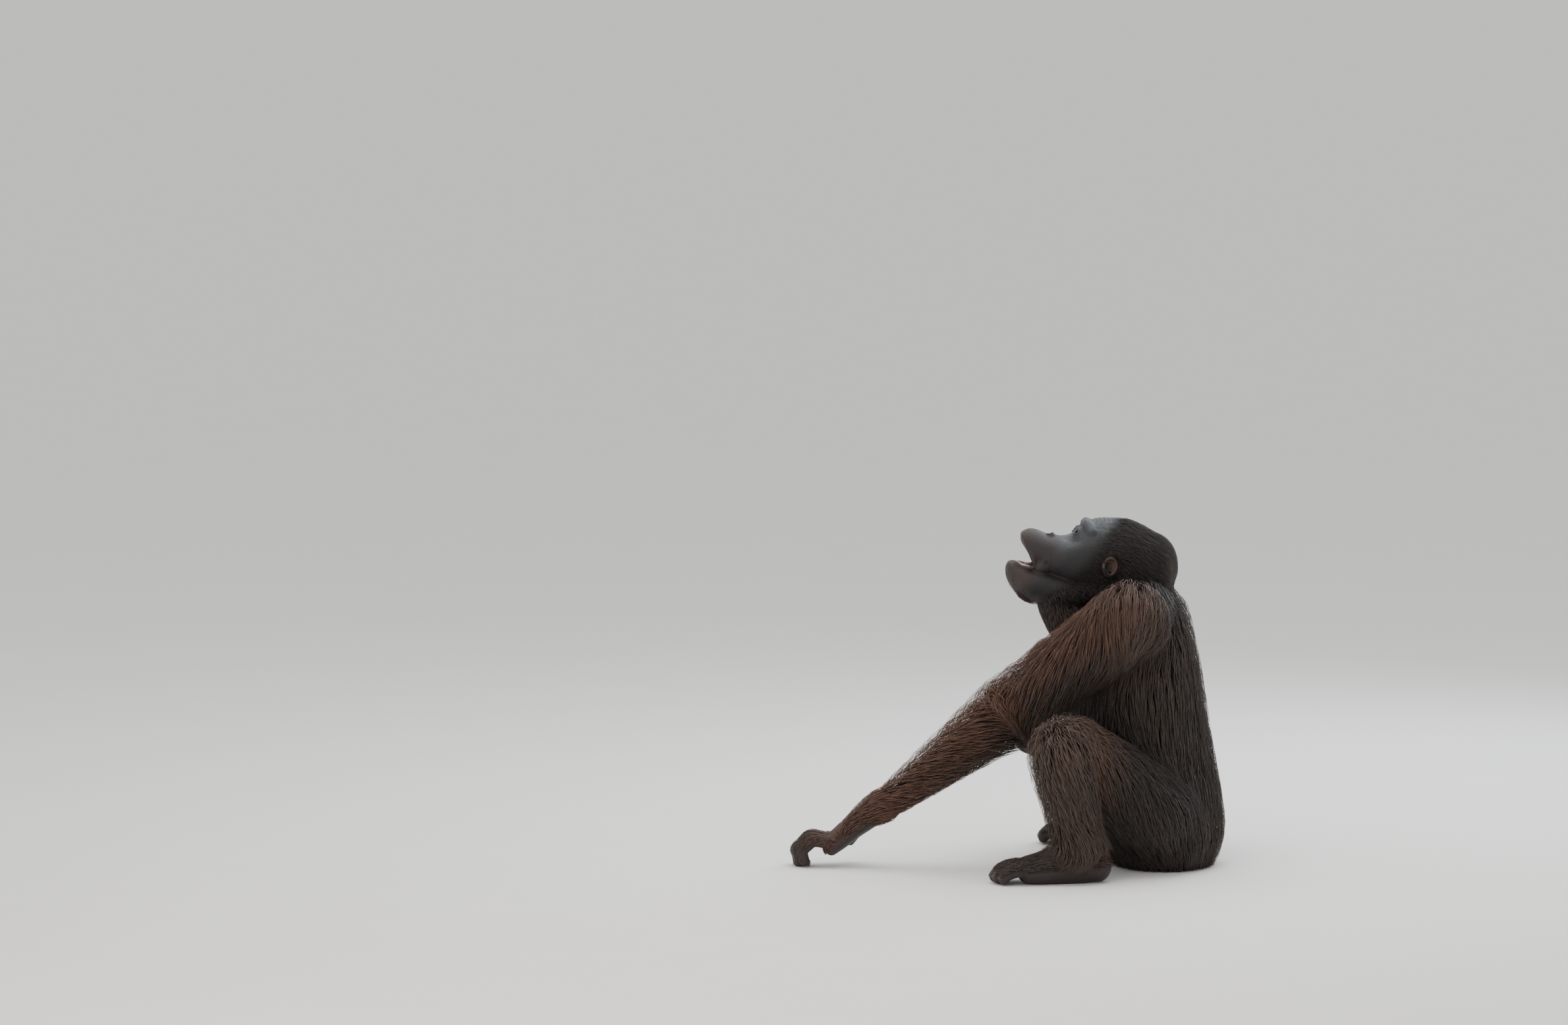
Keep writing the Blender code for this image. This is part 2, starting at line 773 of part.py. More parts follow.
def make_head_and_neck():
    # Skull, face and upper lip as one form, seen in profile: x, top, bottom and half width
    profile = [
        (-0.0500, 0.5715, 0.5300, 0.0290),
        (-0.0410, 0.5760, 0.5200, 0.0340),
        (-0.0280, 0.5740, 0.5080, 0.0375),
        (-0.0150, 0.5685, 0.4980, 0.0405),
        (0.0000, 0.5650, 0.4880, 0.0435),
        (0.0160, 0.5645, 0.4780, 0.0490),
        (0.0330, 0.5690, 0.4690, 0.0570),
        (0.0440, 0.5790, 0.4650, 0.0610),
        (0.0560, 0.5890, 0.4620, 0.0640),
        (0.0800, 0.5940, 0.4560, 0.0675),
        (0.1050, 0.5925, 0.4540, 0.0690),
        (0.1300, 0.5850, 0.4560, 0.0680),
        (0.1500, 0.5750, 0.4600, 0.0640),
        (0.1660, 0.5640, 0.4680, 0.0560),
    ]
    skull = [(x, 0, (top + low) / 2, width, (top - low) / 2) for x, top, low, width in profile]
    jaw_profile = [
        (-0.0655, 0.5210, 0.4700, 0.0255),
        (-0.0575, 0.5220, 0.4610, 0.0320),
        (-0.0440, 0.5180, 0.4530, 0.0380),
        (-0.0240, 0.5120, 0.4470, 0.0425),
        (0.0000, 0.5040, 0.4440, 0.0480),
        (0.0300, 0.5000, 0.4440, 0.0540),
        (0.0600, 0.5000, 0.4440, 0.0590),
        (0.0900, 0.5000, 0.4470, 0.0580),
    ]
    jaw = [(x, 0, (top + low) / 2, width, (top - low) / 2) for x, top, low, width in jaw_profile]
    brow = [
        (0.0640, -0.0440, 0.5700, 0.0090, 0.0095),
        (0.0560, -0.0225, 0.5835, 0.0095, 0.0100),
        (0.0535, 0.0000, 0.5800, 0.0085, 0.0085),
        (0.0560, 0.0225, 0.5835, 0.0095, 0.0100),
        (0.0640, 0.0440, 0.5700, 0.0090, 0.0095),
    ]
    neck_column = hairy(
        [
            (0.140, 0, 0.395, 0.076, 0.082, 0.022),
            (0.134, 0, 0.440, 0.071, 0.078, 0.020),
            (0.126, 0, 0.475, 0.066, 0.070, 0.014),
            (0.120, 0, 0.502, 0.061, 0.062, 0.008),
        ]
    )
    throat = hairy(
        [
            (0.070, 0, 0.350, 0.062, 0.052, 0.012),
            (0.046, 0, 0.400, 0.058, 0.052, 0.012),
            (0.026, 0, 0.435, 0.052, 0.050, 0.010),
            (0.010, 0, 0.465, 0.046, 0.044, 0.006),
        ]
    )
    forms = [
        tube(skull, up=(0, 0, 1)),
        tube(jaw, up=(0, 0, 1)),
        tube(brow, side=(1, 0, 0)),
        tube(neck_column),
        tube(throat),
    ]
    for side in (LEFT, RIGHT):
        eye = (EYE_PLACE[0], side * EYE_PLACE[1], EYE_PLACE[2])
        forms.append(ball(eye, [EYE_RADIUS + LID_THICKNESS] * 3))
    flesh = fuse(forms, HEAD_VOXEL, smoothing=5)
    combine(flesh, mouth_opening(), "DIFFERENCE")
    slope = Matrix.Rotation(math.radians(12), 3, "Y")
    combine(flesh, ball((-0.030, 0, 0.5140), (0.034, 0.0260, 0.0110), slope), "DIFFERENCE")
    flesh = fuse([flesh], HEAD_VOXEL, smoothing=3)
    nudge(flesh, (-0.047, 0, 0.537), 0.017, (-0.0055, 0, -0.0020))
    relax_near(flesh, (-0.062, 0, 0.556), 0.040, 14)
    relax_near(flesh, (-0.076, 0, 0.522), 0.030, 6)
    shape_face(flesh)
    carve_face(flesh)
    return flesh


def shape_face(flesh):
    # Hollows beside the bridge of the nose, small nose with its wings, and full lips
    nudge_pair(flesh, (0.0220, 0.0200, 0.5620), 0.0085, (0.0020, 0, -0.0040))
    nudge_pair(flesh, (-0.0020, 0.0080, 0.5670), 0.0065, (0, 0.0010, 0.0028))
    nudge_pair(flesh, (-0.0460, 0.0140, 0.5620), 0.0140, (-0.0040, 0.0015, 0.0020))
    nudge_pair(flesh, (-0.0680, 0.0150, 0.5160), 0.0100, (-0.0035, 0.0010, 0.0010))
    nudge_pair(flesh, (-0.0020, 0.0420, 0.5350), 0.0170, (0, -0.0030, 0))
    nudge_pair(flesh, (0.0330, 0.0530, 0.5440), 0.0150, (-0.0030, 0.0030, 0.0030))
    nudge_pair(flesh, (0.0640, 0.0620, 0.5720), 0.0180, (0, -0.0040, 0))


def mouth_opening():
    # Wedge between the parted lips, seen in profile from the corner of the mouth outward
    corner_x, corner_z = MOUTH_CORNER
    outline = [
        (corner_x, corner_z + 0.0015),
        (corner_x, corner_z - 0.0015),
        (-0.120, corner_z + 0.0240),
        (-0.120, corner_z + 0.1800),
    ]
    half_width = 0.070
    points = []
    for side in (LEFT, RIGHT):
        points += [(x, side * half_width, z) for x, z in outline]
    faces = [(0, 1, 2, 3), (7, 6, 5, 4)]
    for index in range(4):
        after = (index + 1) % 4
        faces.append((index, index + 4, after + 4, after))
    made = mesh_object("form", points, faces)
    opened = edit(made)
    bmesh.ops.recalc_face_normals(opened, faces=opened.faces)
    close(opened, made)
    return made


def eye_turn(side):
    # Axes of the eye: across the face, up the face and out along the look
    look = Vector((EYE_LOOK[0], side * EYE_LOOK[1], EYE_LOOK[2])).normalized()
    across = Vector((0, 1, 0))
    across = (across - look * across.dot(look)).normalized()
    return Matrix((across, look.cross(across), look)).transposed()


def carve_face(head):
    # Nostrils and the almond openings between the lids
    for side in (LEFT, RIGHT):
        nostril = (-0.0095, side * 0.0080, 0.5680)
        combine(head, ball(nostril, (0.0042, 0.0034, 0.0046), segments=10), "DIFFERENCE")
        turn = eye_turn(side)
        eye = Vector((EYE_PLACE[0], side * EYE_PLACE[1], EYE_PLACE[2]))
        front = eye + turn @ Vector((0, 0, EYE_RADIUS))
        combine(head, ball(front, (0.0100, 0.0051, 0.0080), turn, segments=14), "DIFFERENCE")


def make_eye(side):
    eye = (EYE_PLACE[0], side * EYE_PLACE[1], EYE_PLACE[2])
    return ball(eye, [EYE_RADIUS] * 3, segments=10)


def make_ear(side):
    # Small round cup of the ear, its rim rolled and its hollow facing out and forward
    lean = Matrix.Rotation(math.radians(12), 3, "Y") @ Matrix.Rotation(side * math.radians(-14), 3, "Z")
    place = Vector((EAR_PLACE[0], side * EAR_PLACE[1], EAR_PLACE[2]))
    cup = ball(place, (EAR_HALF_WIDTH, 0.0090, EAR_HALF_HEIGHT), lean, segments=11)
    hollow_place = place + lean @ Vector((-0.0015, side * 0.0095, 0.0010))
    hollow_size = (EAR_HALF_WIDTH * 0.72, 0.0080, EAR_HALF_HEIGHT * 0.74)
    combine(cup, ball(hollow_place, hollow_size, lean, segments=9), "DIFFERENCE")
    return cup


def make_tongue():
    rows = [
        (-0.0060, 0, 0.5030, 0.0120, 0.0050),
        (-0.0200, 0, 0.5060, 0.0150, 0.0060),
        (-0.0380, 0, 0.5105, 0.0150, 0.0052),
        (-0.0500, 0, 0.5130, 0.0110, 0.0040),
    ]
    return tube(rows, sides=8, steps=1)


def make_arm(side):
    # Upper arm, forearm and hand in one form. Each station's share runs from joint to joint.
    shoulder, elbow, wrist = SHOULDER[side], ELBOW[side], WRIST[side]
    rows = [
        (*shoulder, 0.066, 0.066, 0.020),
        (*along(shoulder, elbow, 0.25), 0.063, 0.064, 0.024),
        (*along(shoulder, elbow, 0.50), 0.059, 0.061, 0.026),
        (*along(shoulder, elbow, 0.75), 0.055, 0.058, 0.026),
        (*along(shoulder, elbow, 0.97), 0.051, 0.054, 0.026),
        (*along(elbow, wrist, 0.15), 0.048, 0.052, 0.026),
        (*along(elbow, wrist, 0.40), 0.041, 0.044, 0.022),
        (*along(elbow, wrist, 0.65), 0.033, 0.035, 0.018),
        (*along(elbow, wrist, 0.88), 0.028, 0.027, 0.014),
        (*wrist, 0.026, 0.023, 0.008),
    ]
    return hairy(rows)


def hand_forms(side):
    wrist = Vector(WRIST[side])
    ahead = Vector(HAND_AHEAD[side]).normalized()
    back = Vector(HAND_BACK[side])
    back = (back - ahead * back.dot(ahead)).normalized()
    # The thumb lies on the side towards the body's middle
    across = Vector((0, -side, 0))
    across = (across - ahead * across.dot(ahead) - back * across.dot(back)).normalized()

    def at(forward, sideways, raised):
        return tuple(wrist + ahead * forward + across * sideways + back * raised)

    palm = [
        (*at(-0.030, 0, 0), 0.024, 0.020),
        (*at(0.000, 0, 0), 0.025, 0.020),
        (*at(0.030, 0, -0.001), 0.032, 0.017),
        (*at(0.060, 0, -0.002), 0.037, 0.016),
        (*at(0.082, 0, -0.003), 0.037, 0.014),
    ]
    forms = [tube(palm, side=across)]
    bend = HAND_BEND[side]
    for sideways, length, radius in FINGERS:
        rows = []
        place = Vector(at(0.070, sideways * 0.90, -0.002))
        heading = ahead.copy()
        rows.append((*place, radius * 1.15, radius * 1.15))
        for part, turn in zip((0.46, 0.30, 0.24), bend):
            heading = Matrix.Rotation(math.radians(turn), 3, back.cross(ahead)) @ heading
            place = place + heading * (length * part)
            rows.append((*place, radius, radius))
        forms.append(tube(rows, side=across, sides=14, steps=4))
    thumb = [
        (*at(0.012, 0.022, -0.006), 0.0110, 0.0110),
        (*at(0.034, 0.040, -0.014), 0.0100, 0.0100),
        (*at(0.056, 0.047, -0.022), 0.0085, 0.0085),
    ]
    forms.append(tube(thumb, side=across, sides=14))
    return forms


def make_leg(side):
    hip, knee, ankle = HIP[side], KNEE[side], ANKLE[side]
    rows = [
        (*hip, 0.086, 0.078, 0.022),
        (*along(hip, knee, 0.30), 0.078, 0.072, 0.024),
        (*along(hip, knee, 0.65), 0.064, 0.062, 0.024),
        (*along(hip, knee, 0.92), 0.056, 0.056, 0.024),
        (*along(knee, ankle, 0.12), 0.054, 0.055, 0.024),
        (*along(knee, ankle, 0.45), 0.049, 0.051, 0.024),
        (*along(knee, ankle, 0.80), 0.042, 0.045, 0.020),
        (*ankle, 0.037, 0.040, 0.014),
        (ankle[0] + 0.006, ankle[1], ankle[2] - 0.028, 0.030, 0.034, 0.004),
    ]
    return hairy(rows)


def foot_forms(side):
    ankle = Vector(ANKLE[side])
    ahead = Vector(FOOT_AHEAD[side]).normalized()
    up = Vector((0, 0, 1))
    # The great toe stands off on the side towards the body's middle
    across = Vector((0, -side, 0))
    across = (across - ahead * across.dot(ahead)).normalized()
    origin = Vector((ankle.x, ankle.y, 0))

    def at(forward, sideways, height):
        return tuple(origin + ahead * forward + across * sideways + up * height)

    sole = [
        (*at(-0.036, 0, 0.024), 0.026, 0.024),
        (*at(-0.010, 0, 0.030), 0.031, 0.032),
        (*at(0.030, -0.001, 0.026), 0.034, 0.030),
        (*at(0.065, -0.002, 0.022), 0.038, 0.025),
        (*at(0.088, -0.002, 0.020), 0.038, 0.021),
    ]
    shank = [
        (*at(-0.002, 0, 0.030), 0.034, 0.036),
        (*at(0.000, 0, 0.060), 0.030, 0.032),
    ]
    forms = [tube(sole, side=across), tube(shank, side=across)]
    for sideways, length, radius in TOES:
        rows = [
            (*at(0.078, sideways, 0.020), radius * 1.2, radius * 1.25),
            (*at(0.078 + length * 0.45, sideways * 1.05, 0.024), radius * 1.05, radius * 1.1),
            (*at(0.078 + length * 0.80, sideways * 1.05, 0.016), radius, radius),
            (*at(0.078 + length * 0.88, sideways * 1.05, 0.0085), radius * 0.9, radius * 0.9),
        ]
        forms.append(tube(rows, side=across, sides=14, steps=4))
    great_toe = [
        (*at(0.010, 0.022, 0.018), 0.0140, 0.0140),
        (*at(0.032, 0.044, 0.014), 0.0120, 0.0120),
        (*at(0.054, 0.056, 0.0105), 0.0105, 0.0105),
    ]
    forms.append(tube(great_toe, side=across, sides=14))
    return forms


def part_at(made, place, toward_far):
    # Splits a form at a plane: the object keeps the near side and a new object takes the far side
    far = copy_of(made)
    toward_far = Vector(toward_far).normalized()
    place = Vector(place)
    cut(made, place - toward_far * (GAP / 2), toward_far)
    cut(far, place + toward_far * (GAP / 2), -toward_far)
    return far


def bisector(before, joint, after):
    # Normal of the plane that halves the bend at a joint
    inward = (Vector(joint) - Vector(before)).normalized()
    outward = (Vector(after) - Vector(joint)).normalized()
    return (inward + outward).normalized()


MATERIALS = make_materials()


def dress_all(nodes):
    draw = random.Random(COAT_SEED)
    lock_trees = []
    cores = {made.name: made for made in nodes}
    plain = {name: copy_of(made) for name, made in cores.items()}
    places = [(region, region, LEFT) for region in ("torso", "neck", "head")]
    for side in (LEFT, RIGHT):
        for region in ("upper_arm", "forearm", "thigh", "shin"):
            places.append((region + "_" + SIDE_NAMES[side], region, side))
    for core in plain.values():
        triangulate(core)
    for name, region, side in places:
        others = [core for other, core in plain.items() if other != name]
        dress(cores[name], region, side, draw, others, lock_trees)
    for core in plain.values():
        discard(core)


def build():
    torso = make_torso()

    head = make_head_and_neck()
    simplify(head, TRIANGLES["head"])
    neck = part_at(head, NECK_CUT, (0.244, 0, -1.0))
    clear_of(neck, torso)
    clear_of(head, torso)
    tongue = make_tongue()
    clear_of(head, tongue)
    finish(tongue, "tongue", "tongue")
    for side in (LEFT, RIGHT):
        name = SIDE_NAMES[side]
        ear = make_ear(side)
        clear_of(ear, head)
        finish(ear, "ear_" + name, "face_skin")
        eye = make_eye(side)
        clear_of(head, eye)
        finish(eye, "eye_" + name, "eye")
    finish(head, "head", "face_skin")
    finish(neck, "neck", "coat")
    finish(torso, "torso", "coat")
    nodes = [torso, head, neck]
    small = [made for made in ORANGUTAN.objects if made.name.startswith(("ear", "eye", "tongue"))]

    for side in (LEFT, RIGHT):
        name = SIDE_NAMES[side]
        upper_arm = fuse([tube(make_arm(side))], LIMB_VOXEL, smoothing=3)
        simplify(upper_arm, TRIANGLES["arm"])
        forearm = part_at(upper_arm, ELBOW[side], bisector(SHOULDER[side], ELBOW[side], WRIST[side]))
        wrist_run = Vector(WRIST[side]) - Vector(ELBOW[side])
        hand_sleeve = part_at(forearm, WRIST[side], wrist_run)
        discard(hand_sleeve)
        hand = fuse(hand_forms(side), DIGIT_VOXEL, smoothing=3)
        simplify(hand, TRIANGLES["hand"])
        cut(hand, Vector(WRIST[side]) + wrist_run.normalized() * (GAP / 2), -wrist_run)
        stand(hand)
        finish(upper_arm, "upper_arm_" + name, "coat_red")
        finish(forearm, "forearm_" + name, "coat_red")
        finish(hand, "hand_" + name, "hand_skin")

        thigh = fuse([tube(make_leg(side))], LIMB_VOXEL, smoothing=3)
        simplify(thigh, TRIANGLES["leg"])
        stand(thigh)
        shin = part_at(thigh, KNEE[side], bisector(HIP[side], KNEE[side], ANKLE[side]))
        ankle_cut = (ANKLE[side][0], ANKLE[side][1], ANKLE[side][2] - ANKLE_CUT_DROP)
        foot_sleeve = part_at(shin, ankle_cut, (0, 0, -1))
        discard(foot_sleeve)
        foot = fuse(foot_forms(side), DIGIT_VOXEL, smoothing=3)
        simplify(foot, TRIANGLES["foot"])
        cut(foot, Vector(ankle_cut) - Vector((0, 0, GAP / 2)), (0, 0, 1))
        stand(foot)
        finish(thigh, "thigh_" + name, "coat")
        finish(shin, "shin_" + name, "coat")
        finish(foot, "foot_" + name, "hand_skin")
        nodes += [thigh, shin, foot, upper_arm, forearm, hand]
    clear_all(nodes)
    dress_all(nodes + small)


def centre_on_origin():
    # Moves the whole animal so that the origin is under the middle of its box, on the floor
    bpy.context.view_layer.update()
    corners = np.vstack([[v.co for v in made.data.vertices] for made in ORANGUTAN.objects])
    middle = (corners.min(axis=0) + corners.max(axis=0)) / 2
    shift = Matrix.Translation((-middle[0], -middle[1], -corners[:, 2].min()))
    for made in ORANGUTAN.objects:
        made.data.transform(shift)
        made.data.update()


build()
centre_on_origin()
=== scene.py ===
import math

import bmesh
import bpy
import numpy as np
from mathutils import Matrix, Vector
from mathutils.bvhtree import BVHTree
from mathutils.kdtree import KDTree


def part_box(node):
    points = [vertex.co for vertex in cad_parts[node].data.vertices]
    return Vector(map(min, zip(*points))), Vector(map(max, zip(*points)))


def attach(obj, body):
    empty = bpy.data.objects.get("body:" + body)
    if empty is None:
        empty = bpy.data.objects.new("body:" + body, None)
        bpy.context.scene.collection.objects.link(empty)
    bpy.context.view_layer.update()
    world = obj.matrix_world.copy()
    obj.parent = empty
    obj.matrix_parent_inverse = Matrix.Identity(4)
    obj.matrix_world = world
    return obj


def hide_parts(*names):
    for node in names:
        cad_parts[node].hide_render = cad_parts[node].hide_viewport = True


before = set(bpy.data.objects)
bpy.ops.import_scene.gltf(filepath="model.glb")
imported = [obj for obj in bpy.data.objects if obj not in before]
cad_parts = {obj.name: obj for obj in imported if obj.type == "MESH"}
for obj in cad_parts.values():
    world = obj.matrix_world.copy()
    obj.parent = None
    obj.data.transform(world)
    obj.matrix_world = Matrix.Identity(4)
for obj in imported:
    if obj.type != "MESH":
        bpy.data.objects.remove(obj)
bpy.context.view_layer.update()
print("frame loaded")

# The body is drawn from its joints, in metres: -X forward, -Y the animal's left, Z up from the floor
left, right = -1, 1
body = {
    "hip": {left: (0.165, -0.102, 0.105), right: (0.172, 0.102, 0.105)},
    "knee": {left: (0.004, -0.215, 0.232), right: (0.062, 0.222, 0.206)},
    "ankle": {left: (0.034, -0.235, 0.054), right: (0.130, 0.238, 0.052)},
    "shoulder": {left: (0.128, -0.148, 0.437), right: (0.130, 0.148, 0.437)},
    "elbow": {left: (-0.070, -0.088, 0.281), right: (0.213, 0.262, 0.215)},
    "wrist": {left: (-0.318, -0.035, 0.083), right: (-0.018, 0.142, 0.318)},
    "footAhead": {left: (-1.0, -0.10, 0.0), right: (-0.95, 0.30, 0.0)},
    "handAhead": {left: (-0.80, 0.06, -0.60), right: (-0.50, -0.10, -0.86)},
    "handBack": {left: (-0.58, -0.05, 0.80), right: (-0.85, -0.05, 0.50)},
    "fingerBend": {left: (-46, 50, 60), right: (18, 42, 34)},
}
# Sideways place, length and radius of each finger and each small toe
fingers = [
    (0.0270, 0.092, 0.0096),
    (0.0095, 0.100, 0.0100),
    (-0.0090, 0.096, 0.0098),
    (-0.0260, 0.082, 0.0090),
]
toes = [
    (0.0260, 0.066, 0.0104),
    (0.0085, 0.072, 0.0106),
    (-0.0095, 0.069, 0.0104),
    (-0.0270, 0.060, 0.0098),
]
# Places on the head are given on the animal's right, as the left is its mirror image
head = {
    "eyePlace": (0.0440, 0.0215, 0.5670),
    "eyeRadius": 0.0112,
    "eyeLook": (-0.78, 0.16, 0.60),
    "lid": 0.0022,
    "earPlace": (0.091, 0.0665, 0.517),
    "earWidth": 0.0140,
    "earHeight": 0.0175,
    "mouthCorner": (-0.0355, 0.5150),  # seen from the side
    "chin": (-0.055, 0, 0.457),
}


def sided(place, side):
    return (place[0], side * place[1], place[2])


def joints(side):
    # The joints of the arm and the leg on one side, in the order of the names
    return [np.array(body[name][side]) for name in ("shoulder", "elbow", "wrist", "hip", "knee", "ankle")]


eyeLow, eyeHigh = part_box("eye_left")
shift = (eyeLow + eyeHigh) / 2 - Vector(sided(head["eyePlace"], left))
print("shift of the drawing to the frame", [round(v, 5) for v in shift])


# Mesh helpers


def meshObject(name, points, faces):
    mesh = bpy.data.meshes.new(name)
    mesh.from_pydata([tuple(p) for p in points], [], faces)
    mesh.update()
    made = bpy.data.objects.new(name, mesh)
    bpy.context.scene.collection.objects.link(made)
    return made


def closeMesh(opened, name):
    made = meshObject(name, [], [])
    opened.to_mesh(made.data)
    opened.free()
    return made


def discard(made):
    mesh = made.data
    bpy.data.objects.remove(made, do_unlink=True)
    bpy.data.meshes.remove(mesh)


def applyModifiers(made):
    graph = bpy.context.evaluated_depsgraph_get()
    finished = bpy.data.meshes.new_from_object(made.evaluated_get(graph))
    made.modifiers.clear()
    raw = made.data
    made.data = finished
    bpy.data.meshes.remove(raw)


def getPoints(made, kind="co"):
    flat = np.empty(len(made.data.vertices) * 3)
    made.data.vertices.foreach_get(kind, flat)
    return flat.reshape(-1, 3)


def setPoints(made, points):
    made.data.vertices.foreach_set("co", np.asarray(points).ravel())
    made.data.update()


def smoothRows(rows, steps):
    # A smooth curve through all the rows, with so many steps from each to the next
    rows = np.asarray(rows, float)
    padded = np.vstack([2 * rows[0] - rows[1], rows, 2 * rows[-1] - rows[-2]])
    result = []
    for index in range(len(rows) - 1):
        before, start, end, after = padded[index : index + 4]
        for count in range(steps):
            t = count / steps
            straight = (end - before) * t
            square = (2 * before - 5 * start + 4 * end - after) * t**2
            cube = (3 * start - before - 3 * end + after) * t**3
            result.append(0.5 * (2 * start + straight + square + cube))
    result.append(rows[-1])
    return np.array(result)


def tube(stations, side=(0, 1, 0), up=None, sides=32, steps=6):
    # Round-ended form through stations of x, y, z, half width along the side and half height
    rows = smoothRows(stations, steps)
    centres = rows[:, :3]
    runs = np.gradient(centres, axis=0)
    rings = []
    for index, run in enumerate(runs):
        run = Vector(run).normalized()
        across = Vector(side)
        across = (across - run * across.dot(run)).normalized()
        rise = Vector(up) if up else run.cross(across).normalized()
        rings.append([Vector(centres[index]), run, across, rise, rows[index, 3], rows[index, 4]])

    def cap(ring, sign):
        centre, run, across, rise, halfWidth, halfHeight = ring
        reach = 0.8 * min(halfWidth, halfHeight)
        rounded = []
        for angle in (25, 50, 75):
            shrink = math.cos(math.radians(angle))
            out = sign * reach * math.sin(math.radians(angle))
            rounded.append([centre + run * out, run, across, rise, halfWidth * shrink, halfHeight * shrink])
        return rounded

    rings = cap(rings[0], -1)[::-1] + rings + cap(rings[-1], 1)
    points = []
    for centre, _, across, rise, halfWidth, halfHeight in rings:
        for index in range(sides):
            angle = math.tau * index / sides
            sideways, upwards = math.cos(angle) * halfWidth, math.sin(angle) * halfHeight
            points.append(centre + across * sideways + rise * upwards)
    faces = []
    for ring in range(len(rings) - 1):
        for index in range(sides):
            here = ring * sides + index
            beside = ring * sides + (index + 1) % sides
            faces.append((here, beside, beside + sides, here + sides))
    last = (len(rings) - 1) * sides
    faces.append(tuple(reversed(range(sides))))
    faces.append(tuple(range(last, last + sides)))
    made = meshObject("form", points, faces)
    turnOutward(made)
    return made


def turnOutward(made):
    opened = bmesh.new()
    opened.from_mesh(made.data)
    bmesh.ops.recalc_face_normals(opened, faces=opened.faces)
    opened.to_mesh(made.data)
    opened.free()


def ball(centre, halfSizes, turn=None, segments=32):
    opened = bmesh.new()
    bmesh.ops.create_uvsphere(opened, u_segments=segments, v_segments=segments * 2 // 3, radius=1.0)
    place = Matrix.Translation(Vector(centre))
    if turn is not None:
        place = place @ turn.to_4x4()
    place = place @ Matrix.Diagonal((*halfSizes, 1.0))
    bmesh.ops.transform(opened, matrix=place, verts=opened.verts)
    return closeMesh(opened, "form")


def step(value, low, high):
    # Rises smoothly from 0 at low to 1 at high
    t = np.clip((value - low) / (high - low), 0, 1)
    return t * t * (3 - 2 * t)


def bell(distance, reach, power=2):
    # 1 in the middle, fading out round the reach
    return np.exp(-((distance / reach) ** power))


def lengthOf(vectors):
    return np.linalg.norm(vectors, axis=-1)


def unitsOf(vectors):
    return vectors / np.maximum(lengthOf(vectors), 1e-9)[..., None]


def nearPlace(points, place, reach):
    return bell(lengthOf(points - np.array(place)), reach)


def along(start, end, share):
    return tuple(a + (b - a) * share for a, b in zip(start, end))


def alongLine(points, start, end):
    # How far along a line each point lies, from 0 to 1, and its offset from there
    start, run = np.array(start), np.array(end) - np.array(start)
    t = np.clip((points - start) @ run / (run @ run), 0, 1)
    return t, points - start - t[:, None] * run


def mirrored(rows):
    # Rows from the animal's left side to its middle, carried on to the right
    return rows + [(x, -y, *rest) for x, y, *rest in rows[-2::-1]]


def triangleCount(made):
    return sum(len(face.vertices) - 2 for face in made.data.polygons)


def fuse(forms, voxel, smoothing):
    # One closed skin over all the forms
    opened = bmesh.new()
    for form in forms:
        opened.from_mesh(form.data)
        discard(form)
    made = closeMesh(opened, "flesh")
    remesh = made.modifiers.new("fuse", "REMESH")
    remesh.mode = "VOXEL"
    remesh.voxel_size = voxel
    relax = made.modifiers.new("relax", "SMOOTH")
    relax.factor = 0.5
    relax.iterations = smoothing
    applyModifiers(made)
    return made


def simplify(made, triangles):
    count = triangleCount(made)
    if count > triangles:
        reduce = made.modifiers.new("reduce", "DECIMATE")
        reduce.ratio = triangles / count
        applyModifiers(made)


def combine(made, other, operation):
    joint = made.modifiers.new("joint", "BOOLEAN")
    joint.operation = operation
    joint.solver = "MANIFOLD"
    joint.object = other
    applyModifiers(made)
    discard(other)


def nudge(made, centre, reach, move):
    # Pushes the surface near a place, most at its middle
    points = getPoints(made)
    setPoints(made, points + nearPlace(points, centre, reach)[:, None] * np.array(move))


def relaxNear(made, centre, reach, rounds):
    # Evens out the surface near a place
    points = getPoints(made)
    edges = np.empty(len(made.data.edges) * 2, int)
    made.data.edges.foreach_get("vertices", edges)
    edges = edges.reshape(-1, 2)
    strength = 0.6 * np.clip(1 - lengthOf(points - np.array(centre)) / reach, 0, 1)
    near = (strength[edges[:, 0]] > 0) | (strength[edges[:, 1]] > 0)
    edges = edges[near]
    for _ in range(rounds):
        total = np.zeros_like(points)
        count = np.zeros(len(points))
        for a, b in ((0, 1), (1, 0)):
            np.add.at(total, edges[:, a], points[edges[:, b]])
            np.add.at(count, edges[:, a], 1)
        mean = total / np.maximum(count, 1)[:, None]
        points = points + (mean - points) * (strength * (count > 0))[:, None]
    setPoints(made, points)


# Skin: one form of bare flesh, under the whole depth of the coat
skinSettings = {
    "bodyVoxel": 0.0030,
    "headVoxel": 0.0015,
    "digitVoxel": 0.0017,
    "triangles": 280000,
}


def bare(stations):
    # Stations with the depth of their coat taken off
    return [(x, y, z, width - coat, height - coat) for x, y, z, width, height, coat in stations]


